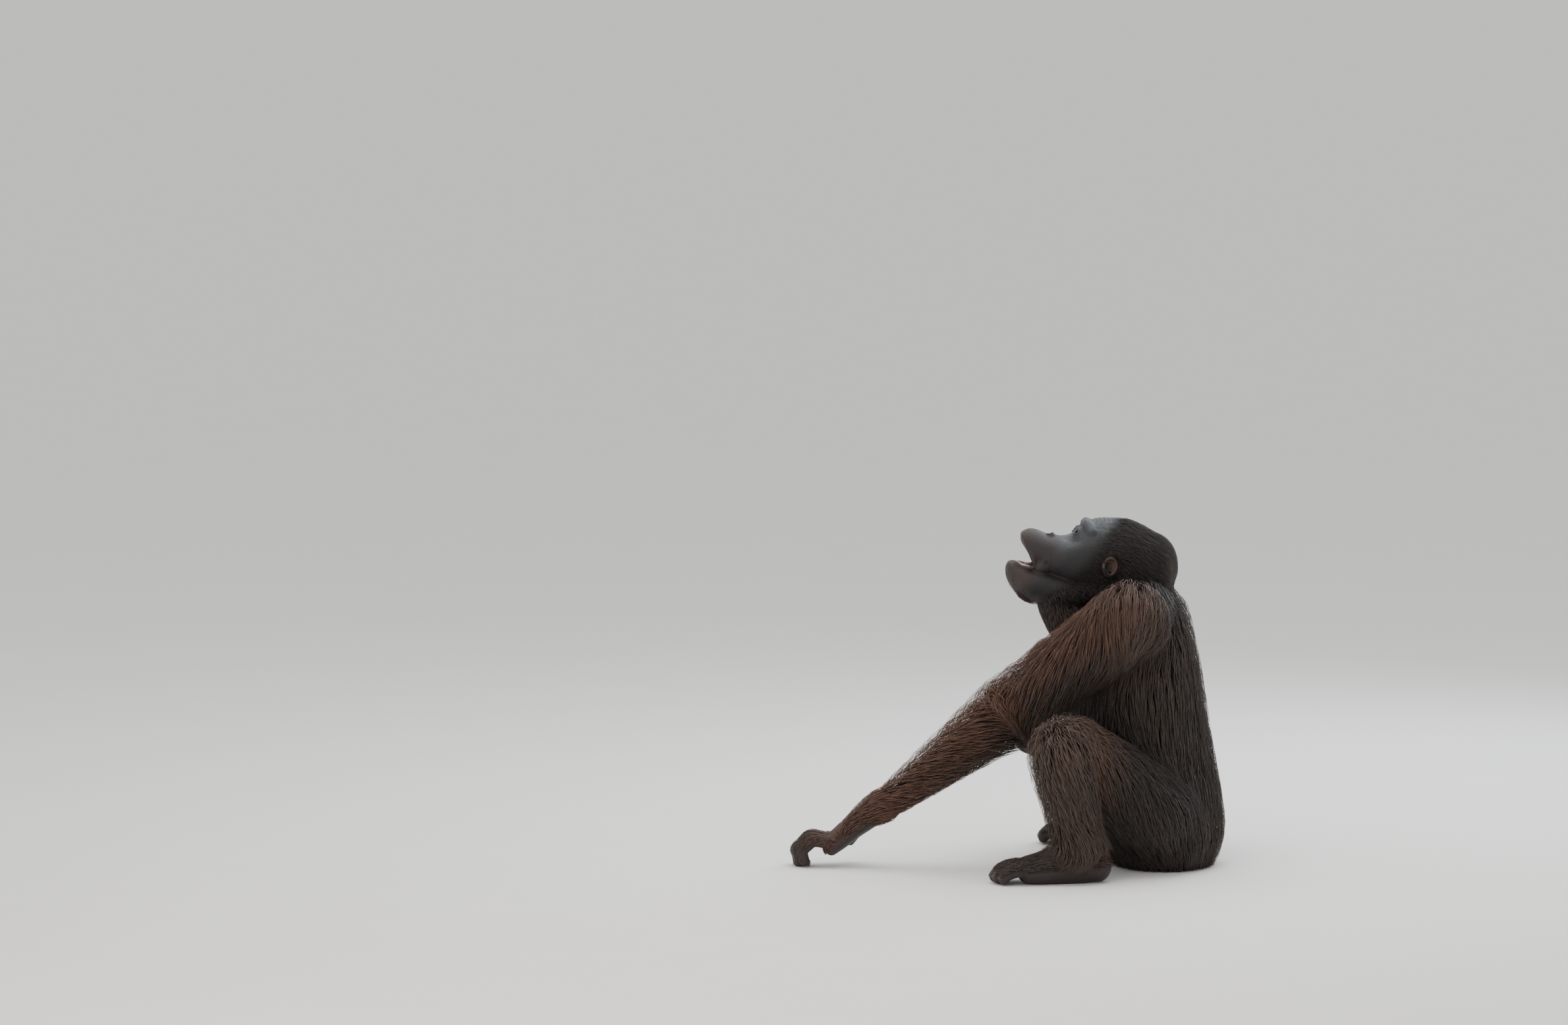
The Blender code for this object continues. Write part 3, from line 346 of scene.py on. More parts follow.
def trunkForms():
    barrel = [
        (0.190, 0, 0.010, 0.104, 0.074, 0.004),
        (0.184, 0, 0.055, 0.136, 0.104, 0.014),
        (0.166, 0, 0.130, 0.150, 0.120, 0.024),
        (0.150, 0, 0.220, 0.150, 0.120, 0.026),
        (0.141, 0, 0.310, 0.146, 0.114, 0.026),
        (0.140, 0, 0.385, 0.136, 0.102, 0.026),
        (0.147, 0, 0.435, 0.112, 0.084, 0.024),
        (0.150, 0, 0.468, 0.082, 0.062, 0.022),
    ]
    girdle = [
        (0.136, -0.104, 0.436, 0.060, 0.056, 0.022),
        (0.148, -0.060, 0.450, 0.058, 0.052, 0.022),
        (0.150, 0.000, 0.458, 0.056, 0.050, 0.022),
        (0.148, 0.060, 0.450, 0.058, 0.052, 0.022),
        (0.138, 0.104, 0.436, 0.060, 0.056, 0.022),
    ]
    return [tube(bare(barrel), sides=48), tube(bare(girdle), side=(1, 0, 0))]


def neckForms():
    column = [
        (0.140, 0, 0.395, 0.076, 0.082, 0.022),
        (0.134, 0, 0.440, 0.071, 0.078, 0.020),
        (0.126, 0, 0.475, 0.066, 0.070, 0.014),
        (0.120, 0, 0.502, 0.061, 0.062, 0.008),
    ]
    throat = [
        (0.070, 0, 0.350, 0.062, 0.052, 0.012),
        (0.046, 0, 0.400, 0.058, 0.052, 0.012),
        (0.026, 0, 0.435, 0.052, 0.050, 0.010),
        (0.010, 0, 0.465, 0.046, 0.044, 0.006),
    ]
    return [tube(bare(column)), tube(bare(throat))]


def armForm(side):
    shoulder, elbow, wrist = body["shoulder"][side], body["elbow"][side], body["wrist"][side]
    rows = [
        (*shoulder, 0.066, 0.066, 0.020),
        (*along(shoulder, elbow, 0.25), 0.063, 0.064, 0.024),
        (*along(shoulder, elbow, 0.50), 0.059, 0.061, 0.026),
        (*along(shoulder, elbow, 0.75), 0.055, 0.058, 0.026),
        (*along(shoulder, elbow, 0.97), 0.051, 0.054, 0.026),
        (*along(elbow, wrist, 0.15), 0.048, 0.052, 0.026),
        (*along(elbow, wrist, 0.40), 0.041, 0.044, 0.022),
        (*along(elbow, wrist, 0.65), 0.033, 0.035, 0.018),
        (*along(elbow, wrist, 0.88), 0.028, 0.027, 0.014),
        (*wrist, 0.026, 0.023, 0.008),
    ]
    return tube(bare(rows))


def legForm(side):
    hip, knee, ankle = body["hip"][side], body["knee"][side], body["ankle"][side]
    rows = [
        (*hip, 0.086, 0.078, 0.022),
        (*along(hip, knee, 0.30), 0.078, 0.072, 0.024),
        (*along(hip, knee, 0.65), 0.064, 0.062, 0.024),
        (*along(hip, knee, 0.92), 0.056, 0.056, 0.024),
        (*along(knee, ankle, 0.12), 0.054, 0.055, 0.024),
        (*along(knee, ankle, 0.45), 0.049, 0.051, 0.024),
        (*along(knee, ankle, 0.80), 0.042, 0.045, 0.020),
        (*ankle, 0.037, 0.040, 0.014),
        (ankle[0] + 0.006, ankle[1], ankle[2] - 0.028, 0.030, 0.034, 0.004),
    ]
    return tube(bare(rows))


def handAxes(side):
    wrist = Vector(body["wrist"][side])
    ahead = Vector(body["handAhead"][side]).normalized()
    back = Vector(body["handBack"][side])
    back = (back - ahead * back.dot(ahead)).normalized()
    across = Vector((0, -side, 0))
    across = (across - ahead * across.dot(ahead) - back * across.dot(back)).normalized()
    return wrist, ahead, back, across


def footAxes(side):
    ankle = Vector(body["ankle"][side])
    ahead = Vector(body["footAhead"][side]).normalized()
    across = Vector((0, -side, 0))
    across = (across - ahead * across.dot(ahead)).normalized()
    return Vector((ankle.x, ankle.y, 0)), ahead, Vector((0, 0, 1)), across


nailPlaces = []


def addNail(rows, across):
    # A nail at the end of a thumb or great toe, along its last part
    before, tip = Vector(rows[-2][:3]), Vector(rows[-1][:3])
    nailPlaces.append((tip, (tip - before).normalized(), across, rows[-1][3]))


def handForms(side):
    wrist, ahead, back, across = handAxes(side)

    def at(forward, sideways, raised):
        return tuple(wrist + ahead * forward + across * sideways + back * raised)

    palm = [
        (*at(-0.030, 0, 0), 0.024, 0.020),
        (*at(0.000, 0, 0), 0.025, 0.020),
        (*at(0.030, 0, -0.001), 0.032, 0.017),
        (*at(0.060, 0, -0.002), 0.037, 0.016),
        (*at(0.082, 0, -0.003), 0.037, 0.014),
    ]
    forms = [tube(palm, side=across)]
    fingerStart = 0.070  # ahead of the wrist
    boneShares = (0.46, 0.30, 0.24)
    for sideways, length, radius in fingers:
        place = Vector(at(fingerStart, sideways * 0.90, -0.002))
        heading = ahead.copy()
        rows = [(*place, radius * 1.15, radius * 1.15)]
        for part, turn in zip(boneShares, body["fingerBend"][side]):
            heading = Matrix.Rotation(math.radians(turn), 3, back.cross(ahead)) @ heading
            # Slightly thinner between the knuckles
            middle = place + heading * (length * part * 0.5)
            rows.append((*middle, radius * 0.93, radius * 0.93))
            place = place + heading * (length * part)
            rows.append((*place, radius, radius))
        forms.append(tube(rows, side=across, sides=20, steps=4))
        nailPlaces.append((place, heading, across, radius))
    thumb = [
        (*at(0.012, 0.022, -0.006), 0.0110, 0.0110),
        (*at(0.034, 0.040, -0.014), 0.0100, 0.0100),
        (*at(0.056, 0.047, -0.022), 0.0085, 0.0085),
    ]
    forms.append(tube(thumb, side=across, sides=20))
    addNail(thumb, across)
    return forms


def footForms(side):
    origin, ahead, up, across = footAxes(side)

    def at(forward, sideways, height):
        return tuple(origin + ahead * forward + across * sideways + up * height)

    sole = [
        (*at(-0.036, 0, 0.024), 0.026, 0.024),
        (*at(-0.010, 0, 0.030), 0.031, 0.032),
        (*at(0.030, -0.001, 0.026), 0.034, 0.030),
        (*at(0.065, -0.002, 0.022), 0.038, 0.025),
        (*at(0.088, -0.002, 0.020), 0.038, 0.021),
    ]
    shank = [(*at(-0.002, 0, 0.030), 0.034, 0.036), (*at(0.000, 0, 0.060), 0.030, 0.032)]
    forms = [tube(sole, side=across), tube(shank, side=across)]
    toeStart = 0.078  # ahead of the ankle
    for sideways, length, radius in toes:
        spread = sideways * 1.05
        rows = [
            (*at(toeStart, sideways, 0.020), radius * 1.2, radius * 1.25),
            (*at(toeStart + length * 0.45, spread, 0.024), radius * 1.05, radius * 1.1),
            (*at(toeStart + length * 0.80, spread, 0.016), radius, radius),
            (*at(toeStart + length * 0.88, spread, 0.0085), radius * 0.9, radius * 0.9),
        ]
        forms.append(tube(rows, side=across, sides=20, steps=4))
        tip = Vector(at(toeStart + length * 0.86, spread, 0.012))
        nailPlaces.append((tip, (ahead - up * 0.9).normalized(), across, radius))
    greatToe = [
        (*at(0.010, 0.022, 0.018), 0.0140, 0.0140),
        (*at(0.032, 0.044, 0.014), 0.0120, 0.0120),
        (*at(0.054, 0.056, 0.0105), 0.0105, 0.0105),
    ]
    forms.append(tube(greatToe, side=across, sides=20))
    addNail(greatToe, across)
    return forms


def eyeTurn(side):
    look = Vector(sided(head["eyeLook"], side)).normalized()
    across = Vector((0, 1, 0))
    across = (across - look * across.dot(look)).normalized()
    return Matrix((across, look.cross(across), look)).transposed()


def eyeMiddle(side):
    return Vector(sided(head["eyePlace"], side))


def mouthWedge():
    # The gape, seen from the side: from the corners of the mouth to well before the lips
    cornerX, cornerZ = head["mouthCorner"]
    frontX, halfSpan = -0.120, 0.070
    outline = [
        (cornerX, cornerZ + 0.0015),
        (cornerX, cornerZ - 0.0015),
        (frontX, cornerZ + 0.024),
        (frontX, cornerZ + 0.180),
    ]
    points = [(x, side * halfSpan, z) for side in (left, right) for x, z in outline]
    faces = [(0, 1, 2, 3), (7, 6, 5, 4)]
    for index in range(4):
        after = (index + 1) % 4
        faces.append((index, index + 4, after + 4, after))
    made = meshObject("form", points, faces)
    turnOutward(made)
    return made


def headForm():
    # From the lips to the back: place, top, bottom and half width
    profile = [
        (-0.0500, 0.5715, 0.5300, 0.0290),
        (-0.0410, 0.5760, 0.5200, 0.0340),
        (-0.0280, 0.5740, 0.5080, 0.0375),
        (-0.0150, 0.5685, 0.4980, 0.0405),
        (0.0000, 0.5650, 0.4880, 0.0435),
        (0.0160, 0.5645, 0.4780, 0.0490),
        (0.0330, 0.5690, 0.4690, 0.0570),
        (0.0440, 0.5790, 0.4650, 0.0610),
        (0.0560, 0.5890, 0.4620, 0.0640),
        (0.0800, 0.5940, 0.4560, 0.0675),
        (0.1050, 0.5925, 0.4540, 0.0690),
        (0.1300, 0.5850, 0.4560, 0.0680),
        (0.1500, 0.5750, 0.4600, 0.0640),
        (0.1660, 0.5640, 0.4680, 0.0560),
    ]
    jaw = [
        (-0.0655, 0.5210, 0.4700, 0.0255),
        (-0.0575, 0.5220, 0.4610, 0.0320),
        (-0.0440, 0.5180, 0.4530, 0.0380),
        (-0.0240, 0.5120, 0.4470, 0.0425),
        (0.0000, 0.5040, 0.4440, 0.0480),
        (0.0300, 0.5000, 0.4440, 0.0540),
        (0.0600, 0.5000, 0.4440, 0.0590),
        (0.0900, 0.5000, 0.4470, 0.0580),
    ]
    brow = [
        (0.0640, -0.0440, 0.5700, 0.0090, 0.0095),
        (0.0560, -0.0225, 0.5835, 0.0095, 0.0100),
        (0.0535, 0.0000, 0.5800, 0.0085, 0.0085),
    ]
    forms = []
    for rows in (profile, jaw):
        stations = [(x, 0, (top + low) / 2, width, (top - low) / 2) for x, top, low, width in rows]
        forms.append(tube(stations, up=(0, 0, 1)))
    forms.append(tube(mirrored(brow), side=(1, 0, 0)))
    forms += neckForms()
    for side in (left, right):
        forms.append(ball(eyeMiddle(side), [head["eyeRadius"] + head["lid"]] * 3))
        # Cheek behind the corner of the mouth
        forms.append(ball((-0.0200, side * 0.0290, 0.5130), (0.0170, 0.0090, 0.0110)))
    flesh = fuse(forms, skinSettings["headVoxel"], 10)
    combine(flesh, mouthWedge(), "DIFFERENCE")
    slope = Matrix.Rotation(math.radians(12), 3, "Y")
    combine(flesh, ball((-0.034, 0, 0.5160), (0.028, 0.0200, 0.0095), slope), "DIFFERENCE")
    for y in (-0.020, -0.007, 0.007, 0.020):
        relaxNear(flesh, (-0.056, y, 0.562), 0.020, 60)
        relaxNear(flesh, (-0.066, y, 0.521), 0.012, 40)
    flesh = fuse([flesh] + lipRolls() + noseWings(), skinSettings["headVoxel"], 5)
    for y in (-0.018, 0, 0.018):
        relaxNear(flesh, (-0.050, y, 0.552), 0.024, 16)
        relaxNear(flesh, (-0.057, y, 0.570), 0.015, 60)
    # Where the face is pushed, how far round and which way, the same on both sides
    pushes = [
        ((0.0220, 0.0200, 0.5620), 0.0085, (0.0020, 0, -0.0040)),  # hollow beside the bridge
        ((-0.0020, 0.0080, 0.5670), 0.0065, (0, 0.0010, 0.0028)),  # wing of the nose
        ((-0.0460, 0.0140, 0.5620), 0.0140, (-0.0040, 0.0015, 0.0020)),  # upper lip
        ((-0.0680, 0.0150, 0.5160), 0.0100, (-0.0035, 0.0010, 0.0010)),  # lower lip
        ((-0.0020, 0.0420, 0.5350), 0.0170, (0, -0.0030, 0)),  # sunk cheek
        ((0.0330, 0.0530, 0.5440), 0.0150, (-0.0030, 0.0030, 0.0030)),  # cheekbone
        ((0.0640, 0.0620, 0.5720), 0.0180, (0, -0.0040, 0)),  # temple
    ]
    for place, reach, move in pushes:
        for side in (left, right):
            nudge(flesh, sided(place, side), reach, sided(move, side))
    for side in (left, right):
        nostril = (-0.0088, side * 0.0112, 0.5665)
        combine(flesh, ball(nostril, (0.0060, 0.0048, 0.0050)), "DIFFERENCE")
        turn = eyeTurn(side)
        front = eyeMiddle(side) + turn @ Vector((0, 0, head["eyeRadius"]))
        combine(flesh, ball(front, (0.0100, 0.0051, 0.0080), turn), "DIFFERENCE")
        relaxNear(flesh, (-0.0340, side * 0.0345, 0.5215), 0.0090, 14)
        combine(flesh, lidRims(side), "UNION")
        combine(flesh, earForm(side), "UNION")
    foldSkin(flesh)
    return flesh


def lipRolls():
    # Full, rounded edges of the lips: from the corners of the mouth round the front
    upper = [
        (-0.0350, -0.0345, 0.5185, 0.0034, 0.0034),
        (-0.0385, -0.0270, 0.5370, 0.0070, 0.0070),
        (-0.0440, -0.0170, 0.5515, 0.0092, 0.0092),
        (-0.0462, 0.0000, 0.5565, 0.0096, 0.0096),
    ]
    lower = [
        (-0.0370, -0.0345, 0.5115, 0.0030, 0.0030),
        (-0.0500, -0.0275, 0.5125, 0.0042, 0.0042),
        (-0.0610, -0.0150, 0.5150, 0.0050, 0.0050),
        (-0.0640, 0.0000, 0.5165, 0.0054, 0.0054),
    ]
    return [tube(mirrored(rows), side=(1, 0, 0), sides=20) for rows in (upper, lower)]


def noseWings():
    # Low rolls round the outer sides of the nostrils
    forms = []
    for side in (left, right):
        rows = []
        for turn in np.radians(np.linspace(-30, 215, 9)):
            x = -0.0088 + 0.0068 * math.cos(turn)
            y = 0.0085 + 0.0060 * max(math.sin(turn), -0.2)
            rows.append((x, side * y, 0.5645, 0.0024, 0.0022))
        forms.append(tube(rows, side=(0, 0, 1), sides=10, steps=3))
    return forms


def foldSkin(flesh):
    # Folds of thick, loose skin: each is a height, and the distance from one crest to the next
    points = getPoints(flesh)
    push = np.zeros(len(points))
    for side in (left, right):
        off = points - np.array(eyeMiddle(side))
        reach = lengthOf(off)
        above = off @ np.array((0.62, 0, 0.78))
        ring = bell(reach - 0.0195, 0.0065)
        push += 0.0010 * step(-above, -0.004, 0.010) * ring * np.sin(reach / 0.0042 * math.tau)
        push += 0.0008 * step(above, 0.002, 0.010) * ring * np.sin(reach / 0.0050 * math.tau)
        # From the nose to the corner of the mouth: a groove with a swelling beside it
        t, off = alongLine(points, (-0.004, side * 0.018, 0.556), (-0.016, side * 0.040, 0.512))
        gap = lengthOf(off)
        ends = step(t, 0.0, 0.2) * (1 - step(t, 0.8, 1.0))
        push += ends * (0.0009 * bell(gap - 0.005, 0.0030) - 0.0014 * bell(gap, 0.0022))
    bridge = nearPlace(points, (0.018, 0, 0.563), 0.013)
    push += 0.0007 * bridge * np.sin(points[:, 0] / 0.0046 * math.tau)
    forehead = nearPlace(points, (0.082, 0, 0.592), 0.030)
    push += 0.0006 * forehead * np.sin(points[:, 0] / 0.0070 * math.tau + 2 * np.sin(points[:, 1] / 0.012))
    # Upright creases of the upper lip and the chin
    across = np.arctan2(points[:, 1], 0.03 - points[:, 0])
    front = nearPlace(points, (-0.050, 0, 0.548), 0.020) + nearPlace(points, (-0.074, 0, 0.495), 0.022)
    push += 0.0005 * front * np.sin(across * 150 + 1.5 * np.sin(points[:, 2] / 0.006))
    setPoints(flesh, points + getPoints(flesh, "normal") * push[:, None])


def lidRims(side):
    # Rounded edges of the upper and lower lid, following the ball of the eye
    turn = eyeTurn(side)
    middle = eyeMiddle(side)
    forms = []
    for rise, thick in ((0.0054, 0.0015), (-0.0048, 0.0012)):
        rows = []
        for angle in np.radians(np.linspace(-5, 185, 13)):
            x = 0.0101 * math.cos(angle)
            y = rise * math.sin(angle)
            out = math.sqrt(max((head["eyeRadius"] + thick * 0.6) ** 2 - x * x - y * y, 0.00002))
            rows.append((*(middle + turn @ Vector((x, y, out))), thick, thick))
        forms.append(tube(rows, side=turn @ Vector((0, 0, 1)), sides=10, steps=2))
    return fuse(forms, 0.0006, 2)


def earForm(side):
    # Small round ear: rolled rim, inner ridge, the knob before the hole, and a short lobe
    lean = Matrix.Rotation(math.radians(12), 3, "Y") @ Matrix.Rotation(side * math.radians(-14), 3, "Z")
    place = Vector(sided(head["earPlace"], side))
    width, height = head["earWidth"], head["earHeight"]

    def at(x, y, z):
        return tuple(place + lean @ Vector((x, side * y, z)))

    rim = []
    for angle in np.linspace(-160, 150, 22):
        turn = math.radians(angle)
        thick = 0.0027 if angle > -100 else 0.0034
        spot = at(math.cos(turn) * (width - 0.003), 0.0058, math.sin(turn) * (height - 0.003))
        rim.append((*spot, thick, thick))
    ridge = []
    for turn in np.radians(np.linspace(-60, 95, 10)):
        spot = at(math.cos(turn) * width * 0.50, 0.0025, math.sin(turn) * height * 0.52)
        ridge.append((*spot, 0.0019, 0.0019))
    outward = lean @ Vector((0, side, 0))
    forms = [
        tube(rim, side=outward, sides=12, steps=2),
        tube(ridge, side=outward, sides=10, steps=2),
        ball(at(0, -0.0020, 0), (width * 0.92, 0.0036, height * 0.92), lean),
        ball(at(0, -0.0060, 0), (width * 0.70, 0.0060, height * 0.75), lean),
        ball(at(-width * 0.72, 0.0028, -0.001), (0.0028, 0.0038, 0.0050), lean),
        ball(at(-width * 0.15, 0.0034, -height * 0.80), (0.0046, 0.0034, 0.0040), lean),
    ]
    ear = fuse(forms, 0.0009, 5)
    bowl = ball(at(-width * 0.12, 0.0050, -height * 0.10), (width * 0.44, 0.0085, height * 0.46), lean)
    combine(ear, bowl, "DIFFERENCE")
    return ear


def makeSkin():
    forms = trunkForms() + [armForm(left), armForm(right), legForm(left), legForm(right)]
    skin = fuse(forms, skinSettings["bodyVoxel"], 12)
    nudge(skin, (0.035, 0, 0.130), 0.09, (-0.012, 0, 0.004))
    print("body fused", triangleCount(skin))
    face = headForm()
    print("head fused", triangleCount(face))
    combine(skin, face, "UNION")
    for side in (left, right):
        for forms in (handForms(side), footForms(side)):
            combine(skin, fuse(forms, skinSettings["digitVoxel"], 4), "UNION")
    # Soft passages where the forms meet
    for side in (left, right):
        relaxNear(skin, body["wrist"][side], 0.045, 12)
        ankle = body["ankle"][side]
        relaxNear(skin, (ankle[0], ankle[1], ankle[2] + 0.01), 0.050, 12)
    relaxNear(skin, (0.070, 0, 0.385), 0.075, 14)
    relaxNear(skin, (0.140, 0, 0.420), 0.090, 10)
    print("skin united", triangleCount(skin))
    simplify(skin, skinSettings["triangles"])
    points = getPoints(skin)
    points[:, 2] = np.maximum(points[:, 2], 0.0)
    setPoints(skin, points)
    skin.name = "skin"
    print("skin simplified", triangleCount(skin))
    return skin


skin = makeSkin()

# Coat: what grows where. For each line of the body, growth gives the flesh's radius, the hair's length
# and the coat's depth at both ends, the tufts' half width, and how many tufts lie over each place
coat = {
    "seed": 11,
    "clump": 0.30,
    "stray": 0.085,
    "thickness": 0.22,
    "longRings": [0.0, 0.14, 0.45, 1.0],
    "shortRings": [0.0, 0.40, 1.0],
    "mostTriangles": 190000,
    "growth": {
        "trunk": ((0.100, 0.086), (0.085, 0.105), (0.021, 0.027), 0.00100, 8.0),
        "shoulders": ((0.037, 0.037), (0.085, 0.085), (0.024, 0.024), 0.00090, 12.0),
        "neck": ((0.052, 0.054), (0.060, 0.040), (0.021, 0.013), 0.00080, 9.0),
        "throat": ((0.046, 0.041), (0.042, 0.024), (0.014, 0.008), 0.00080, 7.5),
        "skull": ((0.064, 0.054), (0.014, 0.036), (0.0038, 0.0080), 0.00036, 8.0),
        "muzzle": ((0.028, 0.042), (0.004, 0.006), (0.0012, 0.0016), 0.00040, 4.0),
        "jaw": ((0.030, 0.036), (0.012, 0.022), (0.0040, 0.0058), 0.00036, 6.5),
        "upperArm": ((0.044, 0.027), (0.088, 0.078), (0.025, 0.034), 0.00075, 12.5),
        "forearm": ((0.025, 0.016), (0.066, 0.042), (0.038, 0.014), 0.00070, 12.5),
        "hand": ((0.021, 0.024), (0.040, 0.014), (0.0110, 0.0034), 0.00060, 8.5),
        "thigh": ((0.058, 0.032), (0.075, 0.046), (0.024, 0.030), 0.00085, 11.5),
        "shin": ((0.031, 0.024), (0.055, 0.050), (0.031, 0.018), 0.00070, 12.5),
        "foot": ((0.026, 0.020), (0.026, 0.012), (0.0075, 0.0034), 0.00060, 7.0),
    },
}
kneeTops = {side: np.array(body["knee"][side]) + np.array((-0.01, 0, 0.035)) for side in (left, right)}


def stemOf(name):
    return name.removesuffix("Left").removesuffix("Right")


def bodyLines():
    ends = {
        "trunk": ((0.182, 0, 0.050), (0.144, 0, 0.400)),
        "shoulders": ((0.138, -0.100, 0.438), (0.140, 0.100, 0.438)),
        "neck": ((0.136, 0, 0.440), (0.124, 0, 0.490)),
        "throat": ((0.060, 0, 0.365), (0.020, 0, 0.450)),
        "skull": ((0.070, 0, 0.528), (0.140, 0, 0.520)),
        "muzzle": ((-0.040, 0, 0.547), (0.030, 0, 0.530)),
        "jaw": ((-0.050, 0, 0.490), (0.050, 0, 0.478)),
    }
    for side, word in ((left, "Left"), (right, "Right")):
        elbow, wrist, knee = body["elbow"][side], body["wrist"][side], body["knee"][side]
        start, ahead, _, _ = handAxes(side)
        origin, footAhead, up, _ = footAxes(side)
        heel = tuple(origin - footAhead * 0.030 + up * 0.026)
        ends["upperArm" + word] = (body["shoulder"][side], elbow)
        ends["forearm" + word] = (elbow, wrist)
        ends["hand" + word] = (wrist, tuple(start + ahead * 0.075))
        ends["thigh" + word] = (body["hip"][side], knee)
        ends["shin" + word] = (knee, body["ankle"][side])
        ends["foot" + word] = (heel, tuple(origin + footAhead * 0.130 + up * 0.018))
    made = {}
    for name, places in ends.items():
        made[name] = dict(zip(("radius", "length", "depth", "width", "layers"), coat["growth"][stemOf(name)]))
        made[name]["ends"] = places
    return made


lines = bodyLines()
lineNames = list(lines)


def unit(start, end):
    return (Vector(end) - Vector(start)).normalized()


def lieOf(name, points):
    # Direction in which the coat lies, before it is laid flat on the skin
    y = points[:, 1]
    side = left if name.endswith("Left") else right
    stem = stemOf(name)
    flat = np.zeros((len(points), 3))
    middleLies = {
        "trunk": (0.10, 2.0 * y, -1.0),
        "shoulders": (0.05, 0.9 * np.tanh(y / 0.03), -0.7),
        "neck": (0.35, 0.7 * np.tanh(y / 0.04), -1.0),
        "throat": (0.25, 4.0 * y, -1.0),
        "skull": (1.0, 3.0 * y, -0.55),
        "muzzle": (1.0, 4.0 * y, -0.2),
        "jaw": (0.35, 2.0 * y, -1.0),
    }
    if name in middleLies:
        flat[:, 0], flat[:, 1], flat[:, 2] = middleLies[name]
    if name == "jaw":
        flat[lengthOf(points - np.array(head["chin"])) < 0.026] = (-0.35, 0, -1.0)
    elif stem == "upperArm":
        shoulder, elbow = body["shoulder"][side], body["elbow"][side]
        t, _ = alongLine(points, shoulder, elbow)
        flat[:] = np.array(unit(shoulder, elbow)) * (0.18 + 0.42 * step(t, 0.0, 0.5))[:, None]
        flat += np.array((0, 0, -1))
        flat[:, 1] += side * 0.9 * (1 - step(t, 0.0, 0.35))
    elif stem == "forearm":
        flat[:] = unit(body["wrist"][side], body["elbow"][side]) + Vector((0, 0, -0.5))
    elif stem == "hand":
        _, ahead, _, across = [np.array(v) for v in handAxes(side)]
        forward = (points - np.array(body["wrist"][side])) @ ahead
        turned = (2 * step(forward, 0.030, 0.090) - 1)[:, None]
        flat[:] = ahead * turned + across * (1 - turned**2) * 0.9 + np.array((0, 0, -0.25))
    elif stem == "thigh":
        flat[:] = unit(body["knee"][side], body["hip"][side]) * 0.6 + Vector((0, 0, -1))
    elif stem == "shin":
        flat[:] = unit(body["knee"][side], body["ankle"][side]) + Vector((0.25, 0, 0))
    elif stem == "foot":
        flat[:] = Vector(body["footAhead"][side]).normalized()
    return unitsOf(flat)


def lineShares(points):
    # How much each line of the body owns each point, and how far along the line it is
    gaps = np.empty((len(points), len(lineNames)))
    shares = np.empty_like(gaps)
    for column, name in enumerate(lineNames):
        startRadius, endRadius = lines[name]["radius"]
        t, off = alongLine(points, *lines[name]["ends"])
        gaps[:, column] = lengthOf(off) - (startRadius + (endRadius - startRadius) * t)
        shares[:, column] = t
    weight = np.exp(-(gaps - gaps.min(1)[:, None]) / 0.006)
    return weight / weight.sum(1)[:, None], shares


def blended(weight, shares, key):
    # A value stated for the lines, at both ends or once, mixed over the body
    total = np.zeros(len(weight))
    for column, name in enumerate(lineNames):
        value = lines[name][key]
        start, end = value if isinstance(value, tuple) else (value, value)
        total += weight[:, column] * (start + (end - start) * shares[:, column])
    return total


def owned(weight, *names):
    return weight[:, [lineNames.index(name) for name in names]].sum(1)


def faceLine(points, low, high):
    # 0 on the bare face, 1 behind the hairline that runs from the forehead past the cheek to the jaw
    heights = [0.440, 0.455, 0.470, 0.490, 0.510, 0.530, 0.550, 0.570, 0.590]
    hairline = [-0.030, -0.020, 0.000, 0.030, 0.054, 0.067, 0.079, 0.093, 0.108]
    edge = np.interp(points[:, 2], heights, hairline)
    return step(points[:, 0] - edge, low, high)


def hairShare(points, normals, weight):
    # 0 where the skin is bare, 1 where the coat is full
    onHead = owned(weight, "skull", "muzzle", "jaw")
    behind = np.where(points[:, 0] < 0.11, faceLine(points, -0.024, 0.022), 1.0)
    share = np.where(onHead > 0.5, behind, 1.0)
    # A thin short down on the forehead, and the beard under the chin
    forehead = onHead * step(points[:, 0], 0.055, 0.075)
    share = np.maximum(share, 0.10 * forehead)
    share = np.maximum(share, nearPlace(points, head["chin"], 0.024) * step(-normals[:, 2], 0.05, 0.45))
    for side, word in ((left, "Left"), (right, "Right")):
        scaled = (points - np.array(sided(head["earPlace"], side))) / np.array([0.017, 0.014, 0.021])
        share = np.where(lengthOf(scaled) < 1.0, 0.0, share)
        # The back of the hand as far as the fingers, and less of it towards the thumb
        wrist, ahead, back, across = [np.array(v) for v in handAxes(side)]
        off = points - wrist
        forward = off @ ahead
        onBack = step(normals @ back, -0.1, 0.4) * (1 - 0.6 * step(forward, 0.085, 0.12))
        onBack *= 1 - step(forward, 0.115, 0.150)
        onBack *= 1 - step(np.abs(off @ across), 0.030, 0.042) * step(forward, 0.005, 0.020)
        inHand = (lengthOf(off) < 0.19) & (forward > 0.0) & (owned(weight, "hand" + word) > 0.3)
        share = np.where(inHand, onBack, share)
        # The top of the foot as far as the toes
        origin, footAhead, _, _ = [np.array(v) for v in footAxes(side)]
        forward = (points - origin) @ footAhead
        onTop = step(normals[:, 2], -0.15, 0.35) * (1 - step(forward, 0.120, 0.150))
        share = np.where(owned(weight, "foot" + word) > 0.3, onTop, share)
    return share * (points[:, 2] > 0.006)


